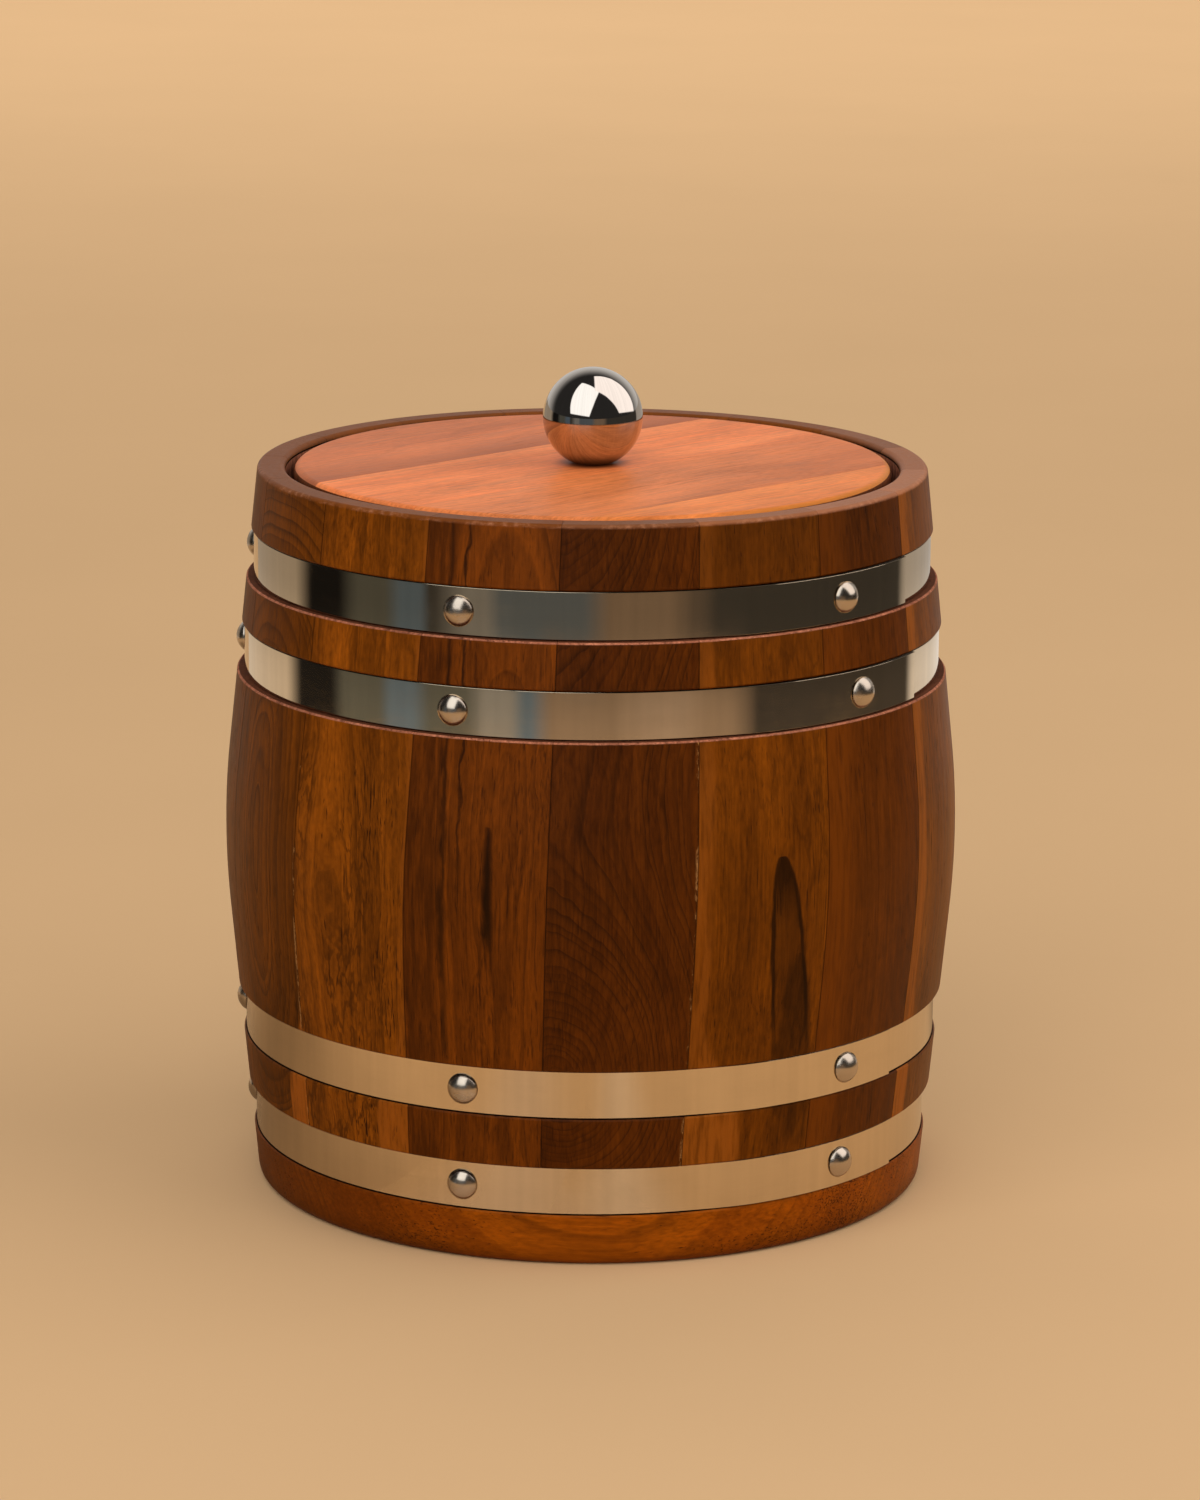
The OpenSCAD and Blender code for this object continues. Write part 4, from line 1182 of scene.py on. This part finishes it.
def makeStage():
    deselectAll()
    bpy.ops.mesh.primitive_plane_add(size=studio["floorSize"])
    floor = bpy.context.object
    floor.name = floor.data.name = "paleFloor"
    dress(floor, floorMaterial())

    for lamp in lamps:
        bpy.ops.object.light_add(type="AREA", location=lamp["place"])
        light = bpy.context.object
        light.name = lamp["name"]
        light.data.shape = "RECTANGLE"
        light.data.size, light.data.size_y = lamp["size"]
        light.data.energy = lamp["watts"]
        light.data.color = studio["lampColour"]
        light.visible_glossy = False  # reflections see the panels instead
        light.rotation_euler = (Vector(lamp["aim"]) - light.location).to_track_quat("-Z", "Y").to_euler()
    world = bpy.data.worlds.new("studioLight")  # even soft light, which reflections see as dark with a pale back
    world.use_nodes = True
    tree = world.node_tree
    way = put(tree, "TexCoord").outputs["Generated"]
    behind = rise(tree, dotOf(tree, way, studio["mirrorFrom"]), *studio["mirrorRise"])
    reflected = mixColour(tree, behind, studio["mirrorDark"], studio["mirrorLight"])
    for panel in mirrorPanels:
        inside = 1.0
        for edge in panel["edges"]:
            inside = times(tree, inside, rise(tree, dotOf(tree, way, edge), 0.0, panelSoft))
        reflected = mixColour(tree, inside, reflected, panel["colour"])
    inMirror = put(tree, "LightPath").outputs["Is Glossy Ray"]
    feed(tree, tree.nodes["Background"].inputs["Color"], mixColour(tree, inMirror, studio["ambient"], reflected))
    bpy.context.scene.world = world


# A material with no nodes yet, for what only reflections see
def emptyMaterial(name):
    material = bpy.data.materials.new(name)
    material.use_nodes = True
    material.node_tree.nodes.clear()
    return material, material.node_tree


# Takes the shader's output as the piece's surface and hides the piece from all but reflections
def showInMirrors(piece, material, shown):
    tree = material.node_tree
    tree.links.new(shown.outputs[0], put(tree, "OutputMaterial").inputs["Surface"])
    dress(piece, material)
    for ray in ("camera", "diffuse", "transmission", "volume_scatter", "shadow"):
        setattr(piece, "visible_" + ray, False)


def makeReflectionCard():
    outline = [(card["radius"] / mm, 0.5), (card["radius"] / mm, card["height"] / mm)]
    piece = drawOutline("reflectionCard", outline)
    spinSelected(card["steps"], card["toTurn"] - card["fromTurn"])
    bpy.ops.object.mode_set(mode="OBJECT")
    putDown(piece, Matrix.Rotation(radians(card["fromTurn"]), 4, "Z"))
    material, tree = emptyMaterial("reflectionCard")
    place = split(tree, put(tree, "TexCoord").outputs["Object"])
    turn = calc(tree, "ARCTAN2", place["X"], times(tree, place["Y"], -1.0))
    span = radians(card["toTurn"] - card["fromTurn"])
    share = calc(tree, "DIVIDE", minus(tree, turn, radians(card["fromTurn"])), span)
    rows = []
    for row in ("lowRow", "highRow"):
        ramp = put(tree, "ValToRGB", {"Fac": share})
        stops = ramp.color_ramp.elements
        edges = [(at, tone) for first, last, tone in card[row] for at in (first, last)]
        while len(stops) < len(edges):
            stops.new(0.5)
        for stop, (at, tone) in zip(stops, edges):
            stop.position = radians(at - card["fromTurn"]) / span
            stop.color = tint(*card["tones"][tone])
        rows.append(ramp.outputs["Color"])
    shown = mixColour(tree, rise(tree, place["Z"], *card["rowsMeet"]), *rows)
    drop = times(tree, rise(tree, place["Z"], *card["dropRise"]), card["levelDrop"])
    level = minus(tree, card["level"], drop)
    showInMirrors(piece, material, put(tree, "Emission", {"Color": shown, "Strength": level}))


def makeFloorStrip(strip):
    deselectAll()
    bpy.ops.mesh.primitive_plane_add(size=1)
    piece = bpy.context.object
    piece.name = piece.data.name = strip["name"]
    piece.scale = (strip["width"], strip["length"], 1)
    bpy.ops.object.transform_apply(scale=True)
    aside = Matrix.Translation((0, -strip["middle"], stripShape["lift"]))
    putDown(piece, Matrix.Rotation(radians(strip["turn"]), 4, "Z") @ aside)
    material, tree = emptyMaterial(strip["name"])
    turned = put(tree, "Mapping", {"Vector": put(tree, "TexCoord").outputs["Object"],
                                   "Rotation": (0, 0, -radians(strip["turn"]))}).outputs["Vector"]
    across = calc(tree, "ABSOLUTE", split(tree, turned)["X"])
    along = calc(tree, "ABSOLUTE", plus(tree, split(tree, turned)["Y"], strip["middle"]))
    end = strip["length"] / 2
    share = times(tree, rise(tree, across, strip["width"] / 2, 0.0), strip["share"])
    share = times(tree, share, rise(tree, along, end, end - stripShape["softEnd"]))
    glow = put(tree, "Emission", {"Color": tint(*strip["colour"]), "Strength": 1.0})
    clear = put(tree, "BsdfTransparent")
    showInMirrors(piece, material, put(tree, "MixShader", {0: share, 1: clear.outputs[0], 2: glow.outputs[0]}))


def makeCamera():
    bpy.ops.object.camera_add()
    camera = bpy.context.object
    camera.name = "photoCamera"
    camera.data.lens = photoCamera["lens"]
    camera.data.sensor_width = photoCamera["sensor"]
    camera.data.clip_end = photoCamera["clipEnd"]
    aimed = Matrix.Rotation(photoCamera["turn"], 4, "Z") @ Matrix.Rotation(pi / 2 - photoCamera["tilt"], 4, "X")
    rolled = Matrix.Rotation(photoCamera["roll"], 4, "Z")
    camera.matrix_world = Matrix.Translation(photoCamera["place"]) @ aimed @ rolled
    bpy.context.scene.camera = camera


makeStage()
makeReflectionCard()
for each in floorStrips:
    makeFloorStrip(each)
makeCamera()
bpy.context.scene.view_settings.view_transform = "Standard"
print("stage done")
